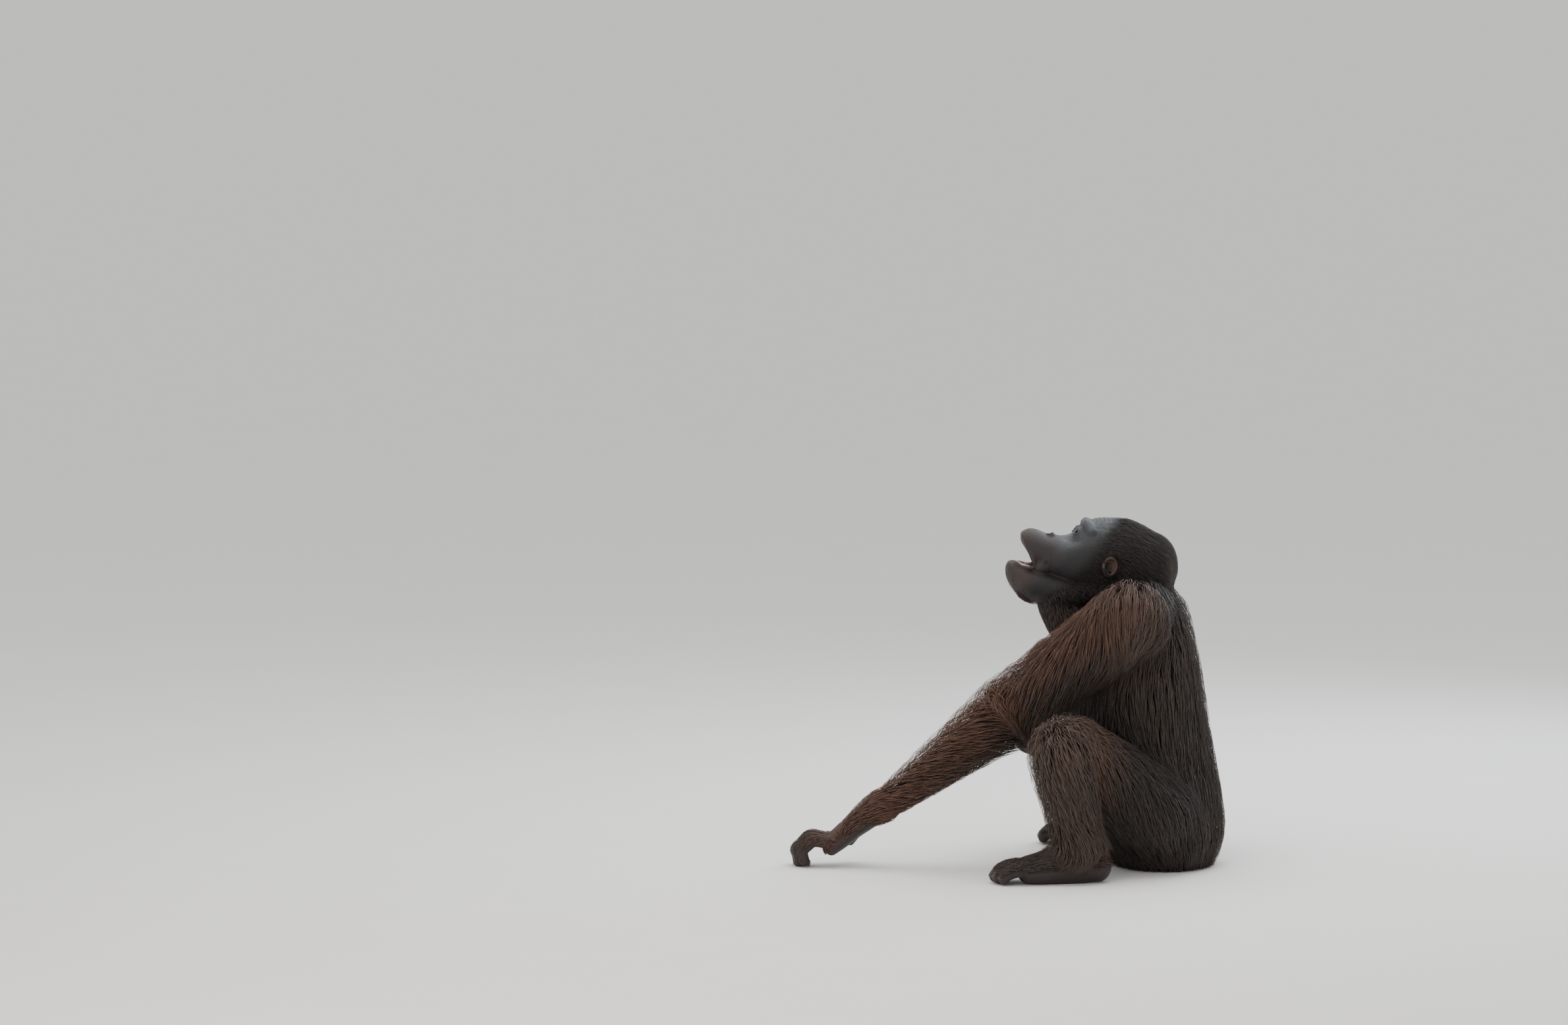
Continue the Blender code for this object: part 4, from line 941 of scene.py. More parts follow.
def markings(points):
    # Where the coat and the skin under it are red and dark, and where a grey painted sheen lies on them: the
    # same rule for both
    red, dark, paintedSheen = [np.zeros(len(points)) for _ in range(3)]
    for side in (left, right):
        shoulder, elbow, wrist, hip, knee, ankle = joints(side)
        # Arms: red along the top and towards the wrist, dark under the upper arm, a grey painted sheen on the
        # top of the shoulder
        paintedSheen = np.maximum(paintedSheen, 0.75 * nearPlace(points, shoulder + np.array((0.01, 0, 0.03)), 0.060))
        for start, end, low, high in ((shoulder, elbow, -0.01, 0.045), (elbow, wrist, -0.03, 0.030)):
            t, off = alongLine(points, start, end)
            near = bell(lengthOf(off), 0.075, 4)
            front = off @ np.array((-0.55, 0, 0.83))
            red = np.maximum(red, near * step(front, low, high))
            if end is elbow:
                dark = np.maximum(dark, 0.42 * near * (1 - step(front, -0.010, 0.030)) * step(t, 0.10, 0.35))
        t, off = alongLine(points, elbow, wrist)
        red = np.maximum(red, 0.75 * bell(lengthOf(off), 0.065, 4) * step(t, 0.1, 0.9))
        knuckles = wrist + np.array(Vector(body["handAhead"][side]).normalized()) * 0.045
        red = np.maximum(red, 0.65 * nearPlace(points, knuckles, 0.080))
        # Legs: a grey painted sheen on the knee and the front of the shin, red behind it, dark thigh and foot
        red = np.maximum(red, 0.35 * nearPlace(points, knee + np.array((0.01, 0, 0.03)), 0.05))
        paintedSheen = np.maximum(paintedSheen, nearPlace(points, knee + np.array((-0.005, 0, 0.035)), 0.060))
        _, off = alongLine(points, knee, ankle)
        near = bell(lengthOf(off), 0.075, 4)
        red = np.maximum(red, 0.6 * near * step(off[:, 0], 0.012, 0.040))
        paintedSheen = np.maximum(paintedSheen, 0.55 * near * (1 - step(off[:, 0], 0.0, 0.035)))
        t, off = alongLine(points, hip, knee)
        dark = np.maximum(dark, 0.72 * bell(lengthOf(off), 0.090, 4) * (1 - step(t, 0.45, 0.95)))
        instep = ankle * (1, 1, 0.3) + np.array(body["footAhead"][side]) * 0.04
        dark = np.maximum(dark, 0.60 * bell(lengthOf((points - instep) * (0.75, 1, 1.5)), 0.070, 4))
    # Head: dark, with a little red at the back and in the beard
    beard = nearPlace(points, head["chin"], 0.026)
    red = np.maximum(red, 0.55 * nearPlace(points, (0.150, 0, 0.575), 0.028))
    red = np.maximum(red, 0.9 * beard)
    sideways = np.abs(points[:, 1])
    headDark = step(points[:, 2], 0.430, 0.470) * (1 - 0.35 * nearPlace(points, (0.150, 0, 0.575), 0.035))
    headDark *= (1 - step(sideways, 0.080, 0.115)) * (1 - 0.7 * beard)
    headDark *= 1 - step(points[:, 0], 0.170, 0.190)
    # Between the legs and on the belly it is dark too
    inner = bell(points[:, 0] - 0.13, 0.16) * bell(points[:, 2] - 0.20, 0.18)
    innerDark = 0.60 * inner * (1 - step(sideways, 0.15, 0.20))
    dark = np.maximum(dark, np.maximum(headDark, innerDark))
    return [("redMark", red), ("darkMark", dark), ("paintedSheenMark", paintedSheen)]


def addFloats(made, name, values):
    layer = made.data.attributes.new(name, "FLOAT", "POINT")
    layer.data.foreach_set("value", np.asarray(values, np.float32))


skinPoints = getPoints(skin)
skinNormals = getPoints(skin, "normal")
skinWeight, skinShares = lineShares(skinPoints)
skinHair = hairShare(skinPoints, skinNormals, skinWeight)


def mouthMark():
    # Lining of the mouth: inside a lying egg, behind the lips
    slope = np.array(Matrix.Rotation(math.radians(-12), 3, "Y"))
    inside = (skinPoints - np.array((-0.030, 0, 0.5140))) @ slope.T / np.array((0.034, 0.0260, 0.0110))
    return (1 - step(lengthOf(inside), 1.00, 1.12)) * step(skinPoints[:, 0], -0.060, -0.052)


def lipMark():
    # The pale edge on top of the lower lip
    edge = mirrored([(-0.0440, -0.031, 0.5125), (-0.0560, -0.022, 0.5170), (-0.0645, 0, 0.5210)])
    rim = smoothRows(edge, 8)
    near = np.flatnonzero((skinPoints[:, 0] < -0.035) & (skinPoints[:, 2] > 0.50) & (skinPoints[:, 2] < 0.53))
    gap = np.ones(len(skinPoints))
    gap[near] = lengthOf(skinPoints[near][:, None, :] - rim[None]).min(1)
    return (1 - step(gap, 0.0018, 0.0042)) * step(skinNormals[:, 2], 0.2, 0.7)


def earMark():
    total = np.zeros(len(skinPoints))
    for side in (left, right):
        x, y, z = head["earPlace"]
        scaled = (skinPoints - np.array([x, side * (y + 0.003), z])) / np.array([0.0155, 0.0085, 0.0195])
        bowl = lengthOf((scaled - np.array((-0.10, 0, -0.08))) * np.array((1.0, 0.0, 1.0)))
        rim = 0.25 + 0.75 * step(bowl, 0.35, 0.62)
        total = np.maximum(total, (1 - step(lengthOf(scaled), 0.85, 1.15)) * rim)
    return total


def softPatches(rows):
    # Strength, place and reach of each patch, on both sides where the place is off the middle
    total = np.zeros(len(skinPoints))
    for strength, place, reach in rows:
        for side in (left, right) if place[1] else (left,):
            total += strength * nearPlace(skinPoints, sided(place, side), reach)
    return np.clip(total, 0, 1)


# Painted highlight: a pale grey-blue sheen that light lays on the forehead, the bridge, under the eyes and on
# the brow
paintedHighlightPatches = [
    (0.85, (0.082, 0, 0.592), 0.040),  # forehead
    (0.90, (0.024, 0, 0.560), 0.020),  # bridge
    (0.50, (0.026, 0.034, 0.553), 0.020),  # under the eye
    (0.08, (0.044, 0.054, 0.540), 0.024),  # cheekbone
    (0.40, (0.070, 0.040, 0.584), 0.022),  # brow
]
warmPatches = [
    (0.9, (-0.054, 0, 0.560), 0.022),  # upper lip
    (0.7, (-0.055, 0, 0.490), 0.036),  # chin
]
handsAndFeet = [name for name in lineNames if stemOf(name) in ("hand", "foot")]
skinMarks = markings(skinPoints) + [
    ("hairMark", np.clip(skinHair, 0, 1)),
    ("palmMark", owned(skinWeight, *handsAndFeet)),
    ("mouthMark", mouthMark()),
    ("lipMark", lipMark()),
    ("earMark", earMark()),
    # Painted shade: the face darkens from the muzzle back towards the ears and the temples
    ("paintedCheekShadeMark", faceLine(skinPoints, -0.088, -0.030)),
    ("paintedHighlightMark", softPatches(paintedHighlightPatches)),
    ("warmMark", softPatches(warmPatches)),
]
for name, values in skinMarks:
    addFloats(skin, name, values)
print("skin marked")

# Growing the coat: roots are strewn over the skin, as thickly as the tufts there need
draw = np.random.default_rng(coat["seed"])
skin.data.calc_loop_triangles()
corners = np.empty(len(skin.data.loop_triangles) * 3, int)
skin.data.loop_triangles.foreach_get("vertices", corners)
corners = corners.reshape(-1, 3)
skinTree = BVHTree.FromPolygons([tuple(p) for p in skinPoints], [tuple(c) for c in corners])
a, b, c = skinPoints[corners[:, 0]], skinPoints[corners[:, 1]], skinPoints[corners[:, 2]]
areas = 0.5 * lengthOf(np.cross(b - a, c - a))
length, depth, halfWidth, layers = [
    blended(skinWeight, skinShares, key) for key in ("length", "depth", "width", "layers")
]
density = layers / (2 * halfWidth * length) * skinHair
# The coat parts round the crown of each knee and on each shoulder, so it is closer there
for side in (left, right):
    density *= 1 + 1.3 * nearPlace(skinPoints, kneeTops[side], 0.030)
    top = nearPlace(skinPoints, np.array(body["shoulder"][side]) + np.array((0, 0, 0.035)), 0.050)
    density *= 1 + 0.5 * top
    halfWidth *= 1 - 0.25 * top
expected = areas * density[corners].mean(1)
total = int(expected.sum())
print("tufts wanted", total)
spread = (np.arange(total) + draw.random(total)) * expected.sum() / total
picked = np.clip(np.searchsorted(np.cumsum(expected), spread), 0, len(corners) - 1)
mix = draw.dirichlet((1, 1, 1), total)
cornerOf = corners[picked]


def atRoots(values):
    # Values of the skin's points, mixed at the roots
    if values.ndim == 1:
        return (values[cornerOf] * mix).sum(1)
    return (values[cornerOf] * mix[:, :, None]).sum(1)


roots = atRoots(skinPoints)
rootNormals = unitsOf(atRoots(skinNormals))
rootLength = atRoots(length) * draw.uniform(0.62, 1.08, total)
rootDepth = atRoots(depth) * (1.04 - 0.70 * draw.random(total) ** 2)
# The coat starts low at the wrists, where the palms are bare
for side in (left, right):
    wrist, elbow = np.array(body["wrist"][side]), np.array(body["elbow"][side])
    behind = (roots - wrist) @ (elbow - wrist) / lengthOf(elbow - wrist)
    under = (1 - step(behind, -0.015, 0.055)) * step(-rootNormals[:, 2], -0.3, 0.4)
    rootDepth *= 1 - 0.62 * nearPlace(roots, wrist, 0.060) * under
# A small beard under the chin
beardShare = nearPlace(roots, head["chin"], 0.022)
rootLength *= 1 + 0.9 * beardShare
rootDepth *= 1 + 0.3 * beardShare
rootWidth = atRoots(halfWidth) * draw.uniform(0.75, 1.25, total)
# Shorter, finer hair where the coat thins out into bare skin
rootShare = np.clip(atRoots(skinHair), 0, 1)
rootLength *= 0.40 + 0.60 * rootShare
rootDepth *= 0.45 + 0.55 * rootShare
rootWidth *= 0.55 + 0.45 * rootShare
owner = atRoots(skinWeight).argmax(1)


def lieAt(points):
    # The lies of the lines that own each point, mixed
    weight, _ = lineShares(points)
    result = np.zeros_like(points)
    for column, name in enumerate(lineNames):
        own = weight[:, column]
        use = own > 0.02
        if use.any():
            result[use] += own[use][:, None] * lieOf(name, points[use])
    return unitsOf(result)


def nearest(points):
    # The nearest places of the skin, and its normals there
    places = np.empty_like(points)
    normals = np.empty_like(points)
    for index, point in enumerate(points):
        places[index], normals[index], _, _ = skinTree.find_nearest(point)
    return places, normals


def hangShare(points, normals):
    # How freely hair hangs: under the upper arms and round the elbows it falls straight down
    share = np.zeros(len(points))
    for side in (left, right):
        shoulder, elbow, wrist = joints(side)[:3]
        for start, low, high in ((shoulder, 0.25, 0.65), (wrist, 0.45, 0.85)):
            t, off = alongLine(points, start, elbow)
            share = np.maximum(share, step(t, low, high) * bell(lengthOf(off), 0.085, 4))
    return share * step(-normals[:, 2], -0.15, 0.45)


def growPaths(roots, normals, length, depth, shares):
    # Points of every tuft from root to tip: steeply out of the skin, then along the lie at the coat's depth
    rings = len(shares)
    profile = np.interp(shares, [0, 0.14, 0.45, 1.0], [-0.08, 0.70, 1.0, 0.97])
    # Hair strays most round the crown of each knee, at the back of the head and in the beard
    whorl = np.maximum(*[nearPlace(roots, kneeTops[side], 0.035) for side in (left, right)])
    crown = nearPlace(roots, (0.140, 0, 0.560), 0.045)
    beard = nearPlace(roots, head["chin"], 0.022)
    unruly = (1 + 4 * whorl + 1.5 * crown + 2.5 * beard)[:, None]
    stray = draw.normal(0, coat["stray"], (len(roots), 3)) * unruly
    paths = np.empty((rings, len(roots), 3))
    facing = np.empty_like(paths)
    place = roots + normals * (depth * profile[0])[:, None]
    paths[0], facing[0] = place, normals
    normal = normals
    hang = hangShare(roots, normals)
    heading = lieAt(roots) + stray
    heading -= normal * ((heading * normal).sum(1) * (1 - hang))[:, None]
    heading = unitsOf(heading)
    for ring in range(1, rings):
        stride = (length * (shares[ring] - shares[ring - 1]))[:, None]
        goal = lieAt(place) + stray
        goal -= normal * ((goal * normal).sum(1) * 0.9 * (1 - hang))[:, None]
        heading = unitsOf(heading * 0.45 + goal * 0.55)
        place = place + heading * stride
        base, normal = nearest(place)
        # Back to the coat's depth: at once where it is too low, mostly where it is too high
        height = ((place - base) * normal).sum(1)
        wanted = depth * profile[ring]
        away = lengthOf(place - base)
        pull = np.where(height < wanted, 1.0, np.where(away > 0.045, 0.0, 0.75 * (1 - hang)))
        place = place + normal * ((wanted - height) * pull)[:, None]
        place[:, 2] = np.maximum(place[:, 2], 0.0015)
        paths[ring], facing[ring] = place, normal
    return paths, facing


def gather(paths, roots, shares, spacing):
    # Neighbouring tufts draw together towards their tips, as locks do
    count = len(roots)
    guides = draw.choice(count, max(count // spacing, 1), replace=False)
    tree = KDTree(len(guides))
    for index, guide in enumerate(guides):
        tree.insert(roots[guide], index)
    tree.balance()
    nearestGuide = np.array([guides[tree.find(root)[1]] for root in roots])
    offset = roots - roots[nearestGuide]
    for ring in range(1, len(shares)):
        share = shares[ring]
        hold = coat["clump"] * share
        goal = paths[ring][nearestGuide] + offset * (1 - 0.55 * share)
        paths[ring] = paths[ring] * (1 - hold) + goal * hold
    return paths


def tuftMesh(name, paths, facing, width, uvs, tuftValues, shares):
    # Each tuft is a closed, thin, three-cornered blade that narrows to its tip
    rings, count = paths.shape[:2]
    widths = np.interp(shares, [0, 0.3, 0.65, 1.0], [0.55, 1.0, 0.70, 0.05])
    runs = unitsOf(np.gradient(paths, axis=0))
    across = unitsOf(np.cross(runs, facing))
    rise = np.cross(across, runs)
    ringCount = rings - 1
    stride = ringCount * 3 + 1
    points = np.empty((count, stride, 3))
    alongValue = np.empty((count, stride))
    acrossValue = np.zeros((count, stride))
    for ring in range(ringCount):
        half = (width * widths[ring])[:, None]
        points[:, ring * 3] = paths[ring] - across[ring] * half
        points[:, ring * 3 + 1] = paths[ring] + rise[ring] * half * coat["thickness"] * 2
        points[:, ring * 3 + 2] = paths[ring] + across[ring] * half
        alongValue[:, ring * 3 : ring * 3 + 3] = shares[ring]
        acrossValue[:, ring * 3] = -1
        acrossValue[:, ring * 3 + 2] = 1
    points[:, -1] = paths[-1]
    alongValue[:, -1] = 1
    points[:, :, 2] = np.maximum(points[:, :, 2], 0.0006)
    pattern = [(0, 1, 2)]
    for ring in range(ringCount - 1):
        low, high = ring * 3, ring * 3 + 3
        for k in range(3):
            n = (k + 1) % 3
            pattern.append((low + n, low + k, high + k))
            pattern.append((low + n, high + k, high + n))
    last = (ringCount - 1) * 3
    for k in range(3):
        pattern.append((last + (k + 1) % 3, last + k, ringCount * 3))
    pattern = np.array(pattern)
    triangles = (pattern[None] + (np.arange(count) * stride)[:, None, None]).reshape(-1, 3)
    mesh = bpy.data.meshes.new(name)
    mesh.vertices.add(count * stride)
    mesh.vertices.foreach_set("co", (points + np.array(shift)).ravel())
    mesh.loops.add(len(triangles) * 3)
    mesh.loops.foreach_set("vertex_index", triangles.ravel())
    mesh.polygons.add(len(triangles))
    mesh.polygons.foreach_set("loop_start", np.arange(len(triangles)) * 3)
    mesh.update()
    mesh.validate()
    mesh.polygons.foreach_set("use_smooth", np.ones(len(mesh.polygons), bool))
    made = bpy.data.objects.new(name, mesh)
    bpy.context.scene.collection.objects.link(made)
    addFloats(made, "alongMark", alongValue.ravel())
    addFloats(made, "acrossMark", acrossValue.ravel())
    for word, values in [("tuftMark", tuftValues)] + markings(paths[0]):
        addFloats(made, word, np.repeat(values, stride))
    # Each tuft's patch of the texture sits at its root's place on the unwrap
    patch = 0.0030  # of the texture's width
    local = np.stack([acrossValue * 0.5 * patch, (alongValue - 0.5) * patch], 2)
    uvPoints = (uvs[:, None, :] + local).reshape(-1, 2)
    layer = mesh.uv_layers.new(name="OFBake")
    loopVertices = np.empty(len(mesh.loops), int)
    mesh.loops.foreach_get("vertex_index", loopVertices)
    layer.data.foreach_set("uv", uvPoints[loopVertices].ravel())
    return made


def unwrapAt(name, points):
    # Unrolls a limb, trunk or head round its line: once round and end to end
    start, end = [np.array(v) for v in lines[name]["ends"]]
    size = lengthOf(end - start)
    run = (end - start) / size
    helper = np.array((0.0, 0.0, 1.0)) if abs(run[2]) < 0.8 else np.array((1.0, 0.0, 0.0))
    first = unitsOf(np.cross(run, helper))
    second = np.cross(run, first)
    off = points - start
    angle = np.arctan2(off @ second, off @ first) / math.tau + 0.5
    reach = np.clip((off @ run / size + 0.7) / 2.4, 0, 1)
    return np.stack([0.01 + 0.98 * angle, 0.02 + 0.96 * reach], 1)


# Which lines grow together as one piece of coat, the kind of its tufts, and how many share a lock
coatPieces = {
    "coat_trunk": (["trunk", "shoulders"], "longRings", 8),
    "coat_neck": (["neck", "throat"], "longRings", 7),
    "coat_head": (["skull", "muzzle", "jaw"], "shortRings", 5),
}
for pieceName, stem, lockSize in (
    ("coat_upper_arm", "upperArm", 8),
    ("coat_forearm", "forearm", 6),
    ("coat_thigh", "thigh", 7),
    ("coat_shin", "shin", 7),
):
    coatPieces[pieceName + "_left"] = ([stem + "Left"], "longRings", lockSize)
    coatPieces[pieceName + "_right"] = ([stem + "Right"], "longRings", lockSize)
coatPieces["coat_hands"] = (["handLeft", "handRight"], "shortRings", 4)
coatPieces["coat_feet"] = (["footLeft", "footRight"], "shortRings", 4)
madeCoats = []
for pieceName, (names, kind, lockSize) in coatPieces.items():
    shares = coat[kind]
    chosen = np.flatnonzero(np.isin(owner, [lineNames.index(name) for name in names]))
    places, normals = roots[chosen], rootNormals[chosen]
    paths, facing = growPaths(places, normals, rootLength[chosen], rootDepth[chosen], shares)
    paths = gather(paths, places, shares, lockSize)
    uvs = unwrapAt(names[0], places)
    triangles = len(chosen) * ((len(shares) - 2) * 6 + 4)
    parts = math.ceil(triangles / coat["mostTriangles"])
    for part in range(parts):
        some = np.arange(part, len(chosen), parts)
        name = pieceName if parts == 1 else pieceName + "_" + "abcdef"[part]
        width, tuftValues = rootWidth[chosen][some], draw.random(len(some))
        made = tuftMesh(name, paths[:, some], facing[:, some], width, uvs[some], tuftValues, shares)
        madeCoats.append((made, stemOf(names[0])))
    print(pieceName, "tufts", len(chosen), "triangles", triangles)


# Small parts: eyes, tongue and nails


def makeEye(side):
    # Ball with the cornea's shallow dome on the line of sight
    made = ball((0, 0, 0), (1, 1, 1), segments=48)
    points = getPoints(made) * head["eyeRadius"]
    gaze = points[:, 2] / head["eyeRadius"]
    points *= (1 + 0.050 * step(gaze, 0.80, 0.97))[:, None]
    addFloats(made, "gazeMark", np.degrees(np.arccos(np.clip(gaze, -1, 1))))
    setPoints(made, points @ np.array(eyeTurn(side)).T + np.array(eyeMiddle(side)))
    made.name = "eyeball_left" if side == left else "eyeball_right"
    return made


def makeTongue():
    rows = [
        (-0.0060, 0, 0.5030, 0.0120, 0.0050),
        (-0.0200, 0, 0.5060, 0.0150, 0.0060),
        (-0.0380, 0, 0.5105, 0.0150, 0.0052),
        (-0.0500, 0, 0.5130, 0.0110, 0.0040),
    ]
    made = tube(rows, sides=28, steps=8)
    # Shallow groove down the middle
    nudge(made, (-0.030, 0, 0.5165), 0.006, (0, 0, -0.0012))
    made.name = "tongue_flesh"
    return made


nailPlate = {"rows": 7, "columns": 7, "bend": 0.95, "thickness": 0.0009, "lowest": 0.0006}


def makeNails():
    # Small curved plates set into the tips of fingers and toes, sized by the tip's radius
    opened = bmesh.new()
    rows, columns = nailPlate["rows"], nailPlate["columns"]
    for place, heading, across, radius in nailPlaces:
        up = heading.cross(across).normalized()
        if up.z < 0:
            up = -up
        grid = []
        for row in range(rows):
            t = row / (rows - 1)
            for column in range(columns):
                s = column / (columns - 1) * 2 - 1
                bend = s * nailPlate["bend"]
                wide = radius * (0.80 - 0.12 * t * t)
                shell = radius * 1.045
                point = place + across * (math.sin(bend) * wide) + up * (math.cos(bend) * shell * 0.98)
                point += heading * (radius * (-0.25 + 1.10 * t * (1 - 0.16 * s * s)))
                point -= up * (radius * 0.32 * t * t)
                point.z = max(point.z, nailPlate["lowest"])
                grid.append(opened.verts.new(point))
        for row in range(rows - 1):
            for column in range(columns - 1):
                here = row * columns + column
                opened.faces.new([grid[n] for n in (here, here + 1, here + 1 + columns, here + columns)])
    bmesh.ops.recalc_face_normals(opened, faces=opened.faces)
    made = closeMesh(opened, "nails")
    plate = made.modifiers.new("plate", "SOLIDIFY")
    plate.thickness = nailPlate["thickness"]
    plate.offset = 0
    applyModifiers(made)
    return made


eyes = {side: makeEye(side) for side in (left, right)}
tongue = makeTongue()
nails = makeNails()
for piece in (skin, eyes[left], eyes[right], tongue, nails):
    setPoints(piece, getPoints(piece) + np.array(shift))
    piece.data.polygons.foreach_set("use_smooth", np.ones(len(piece.data.polygons), bool))
print("eyes, tongue and nails made")


# Materials. Sizes of patterns are in millimetres, from one patch, crease, pore or hair to the next


def linear(code):
    # sRGB hex to linear colour
    values = [int(code[i : i + 2], 16) / 255 for i in (1, 3, 5)]
    return (*[v / 12.92 if v <= 0.04045 else ((v + 0.055) / 1.055) ** 2.4 for v in values], 1.0)


def perMetre(size):
    # How many patches of a size in millimetres go into a metre
    return 1000 / size


def setInputs(node, values):
    # Gives each input of a node a fixed value or another node's output
    for key, value in values.items():
        if isinstance(value, bpy.types.NodeSocket):
            node.id_data.links.new(value, node.inputs[key])
        else:
            node.inputs[key].default_value = value


def addNode(tree, kind, settings, values, output=0):
    # Adds a node with its settings and inputs, and gives back one of its outputs
    node = tree.nodes.new("ShaderNode" + kind)
    for key, value in settings.items():
        setattr(node, key, value)
    setInputs(node, values)
    return node.outputs[output]


def startMaterial(name, marks=()):
    # The new material's nodes, its surface, and what the piece states: its place and its own marks
    material = bpy.data.materials.new(name)
    material.use_nodes = True
    tree = material.node_tree
    own = {"place": addNode(tree, "TexCoord", {}, {}, "Object")}
    for mark in marks:
        own[mark] = addNode(tree, "Attribute", {"attribute_name": mark + "Mark"}, {}, "Fac")
    return material, tree, tree.nodes["Principled BSDF"], own


def layered(tree, colour, layers):
    # Colours laid over one another, each by its share
    for share, over in layers:
        over = linear(over) if isinstance(over, str) else over
        colour = addNode(tree, "Mix", {"data_type": "RGBA"}, {0: share, 6: colour, 7: over}, 2)
    return colour


multiply = {"operation": "MULTIPLY"}
multiplyAdd = {"operation": "MULTIPLY_ADD"}
hairLook = {
    "brown": "#2c2420",
    "red": "#5c3828",
    "dark": "#100e0d",
    "paintedSheen": "#5f4d43",
    # The grey is a painted sheen, where light from above catches the coat
    "tip": "#62503f",
    "sheen": "#c9b2a8",
    "patchSize": 45.45,
    "hairsAcross": 12,  # single hairs of about 0.1 mm, side by side on a tuft
}


def hairMaterial():
    # Keratin hair, long and lying down: satin, darker at the roots and paler at the tips
    marks = ["tuft", "along", "across", "red", "dark", "paintedSheen"]
    material, tree, surface, own = startMaterial("orangutan hair, long and satin", marks)
    # Single tufts are redder or browner than the coat round them
    redder = addNode(tree, "Math", multiplyAdd, {0: own["tuft"], 1: 0.35, 2: -0.175})
    redder = addNode(tree, "Math", {"operation": "ADD", "use_clamp": True}, {0: own["red"], 1: redder})
    # Painted sheen: the coat is greyer on the shoulder tops, knees and shin fronts, where light from above
    # catches it
    paintedSheenShare = addNode(tree, "Math", multiply, {0: own["paintedSheen"], 1: 0.6})
    # Tips are paler, and less so where the coat is dark
    tips = addNode(tree, "Math", {"operation": "POWER"}, {0: own["along"], 1: 2.0})
    tipShare = addNode(tree, "Math", multiplyAdd, {0: own["dark"], 1: -0.32, 2: 0.40})
    tipShare = addNode(tree, "Math", multiply, {0: tips, 1: tipShare})
    layers = [
        (redder, hairLook["red"]),
        (paintedSheenShare, hairLook["paintedSheen"]),
        (own["dark"], hairLook["dark"]),
        (tipShare, hairLook["tip"]),
    ]
    base = layered(tree, linear(hairLook["brown"]), layers)
    # Whole patches of the coat, and single tufts, are lighter or darker
    patchScale = perMetre(hairLook["patchSize"])
    patches = addNode(tree, "TexNoise", {}, {"Vector": own["place"], "Scale": patchScale, "Detail": 3.0})
    value = addNode(tree, "Math", multiplyAdd, {0: patches, 1: 0.55, 2: 0.48})
    value = addNode(tree, "Math", multiplyAdd, {0: own["tuft"], 1: 0.45, 2: value})
    shade = addNode(tree, "CombineColor", {}, {"Red": value, "Green": value, "Blue": value})
    darken = {"data_type": "RGBA", "blend_type": "MULTIPLY"}
    base = addNode(tree, "Mix", darken, {0: 1.0, 6: base, 7: shade}, 2)
    # Fine relief of single hairs along the tuft
    scale = 2.0
    sideways = addNode(tree, "Math", multiply, {0: own["across"], 1: hairLook["hairsAcross"] / (2 * scale)})
    lengthways = addNode(tree, "Math", multiplyAdd, {0: own["tuft"], 1: 40.0, 2: own["along"]})
    spot = addNode(tree, "CombineXYZ", {}, {0: sideways, 1: lengthways})
    values = {"Vector": spot, "Scale": scale, "Detail": 2.0}
    hairs = addNode(tree, "TexNoise", {"noise_dimensions": "2D"}, values)
    relief = addNode(tree, "Bump", {}, {"Strength": 0.35, "Distance": 0.0006, "Height": hairs})
    setInputs(surface, {"Base Color": base, "Normal": relief})
    surface.inputs["Roughness"].default_value = 0.52
    surface.inputs["IOR"].default_value = 1.55
    surface.inputs["Specular IOR Level"].default_value = 0.35
    surface.inputs["Sheen Weight"].default_value = 0.16
    surface.inputs["Sheen Roughness"].default_value = 0.45
    surface.inputs["Sheen Tint"].default_value = linear(hairLook["sheen"])
    return material


skinLook = {
    "face": "#221e1e",
    "faceLight": "#332d2c",
    # Painted highlight of the forehead, brow and bridge
    "paintedHighlight": "#575c61",
    "warm": "#43362f",
    "palm": "#231d1c",
    "palmLight": "#3a302e",
    "ear": "#5d443b",
    "earDark": "#2c201d",
    "mouth": "#43191d",
    "lip": "#cbaaa2",
    "underRed": "#331c16",
    "underBrown": "#1f1512",
    # Under the coat's grey painted sheen
    "underPaintedSheen": "#2a2421",
    "underDark": "#0d0a0a",
    "paintedCheekShade": "#131012",
    # Painted shade of the cheeks and temples
    "sheen": "#aab0bd",
    "blotchSize": 18.18,
    "foldSize": 3.846,
    "creaseSize": 1.613,
    "poreSize": 0.5556,
}


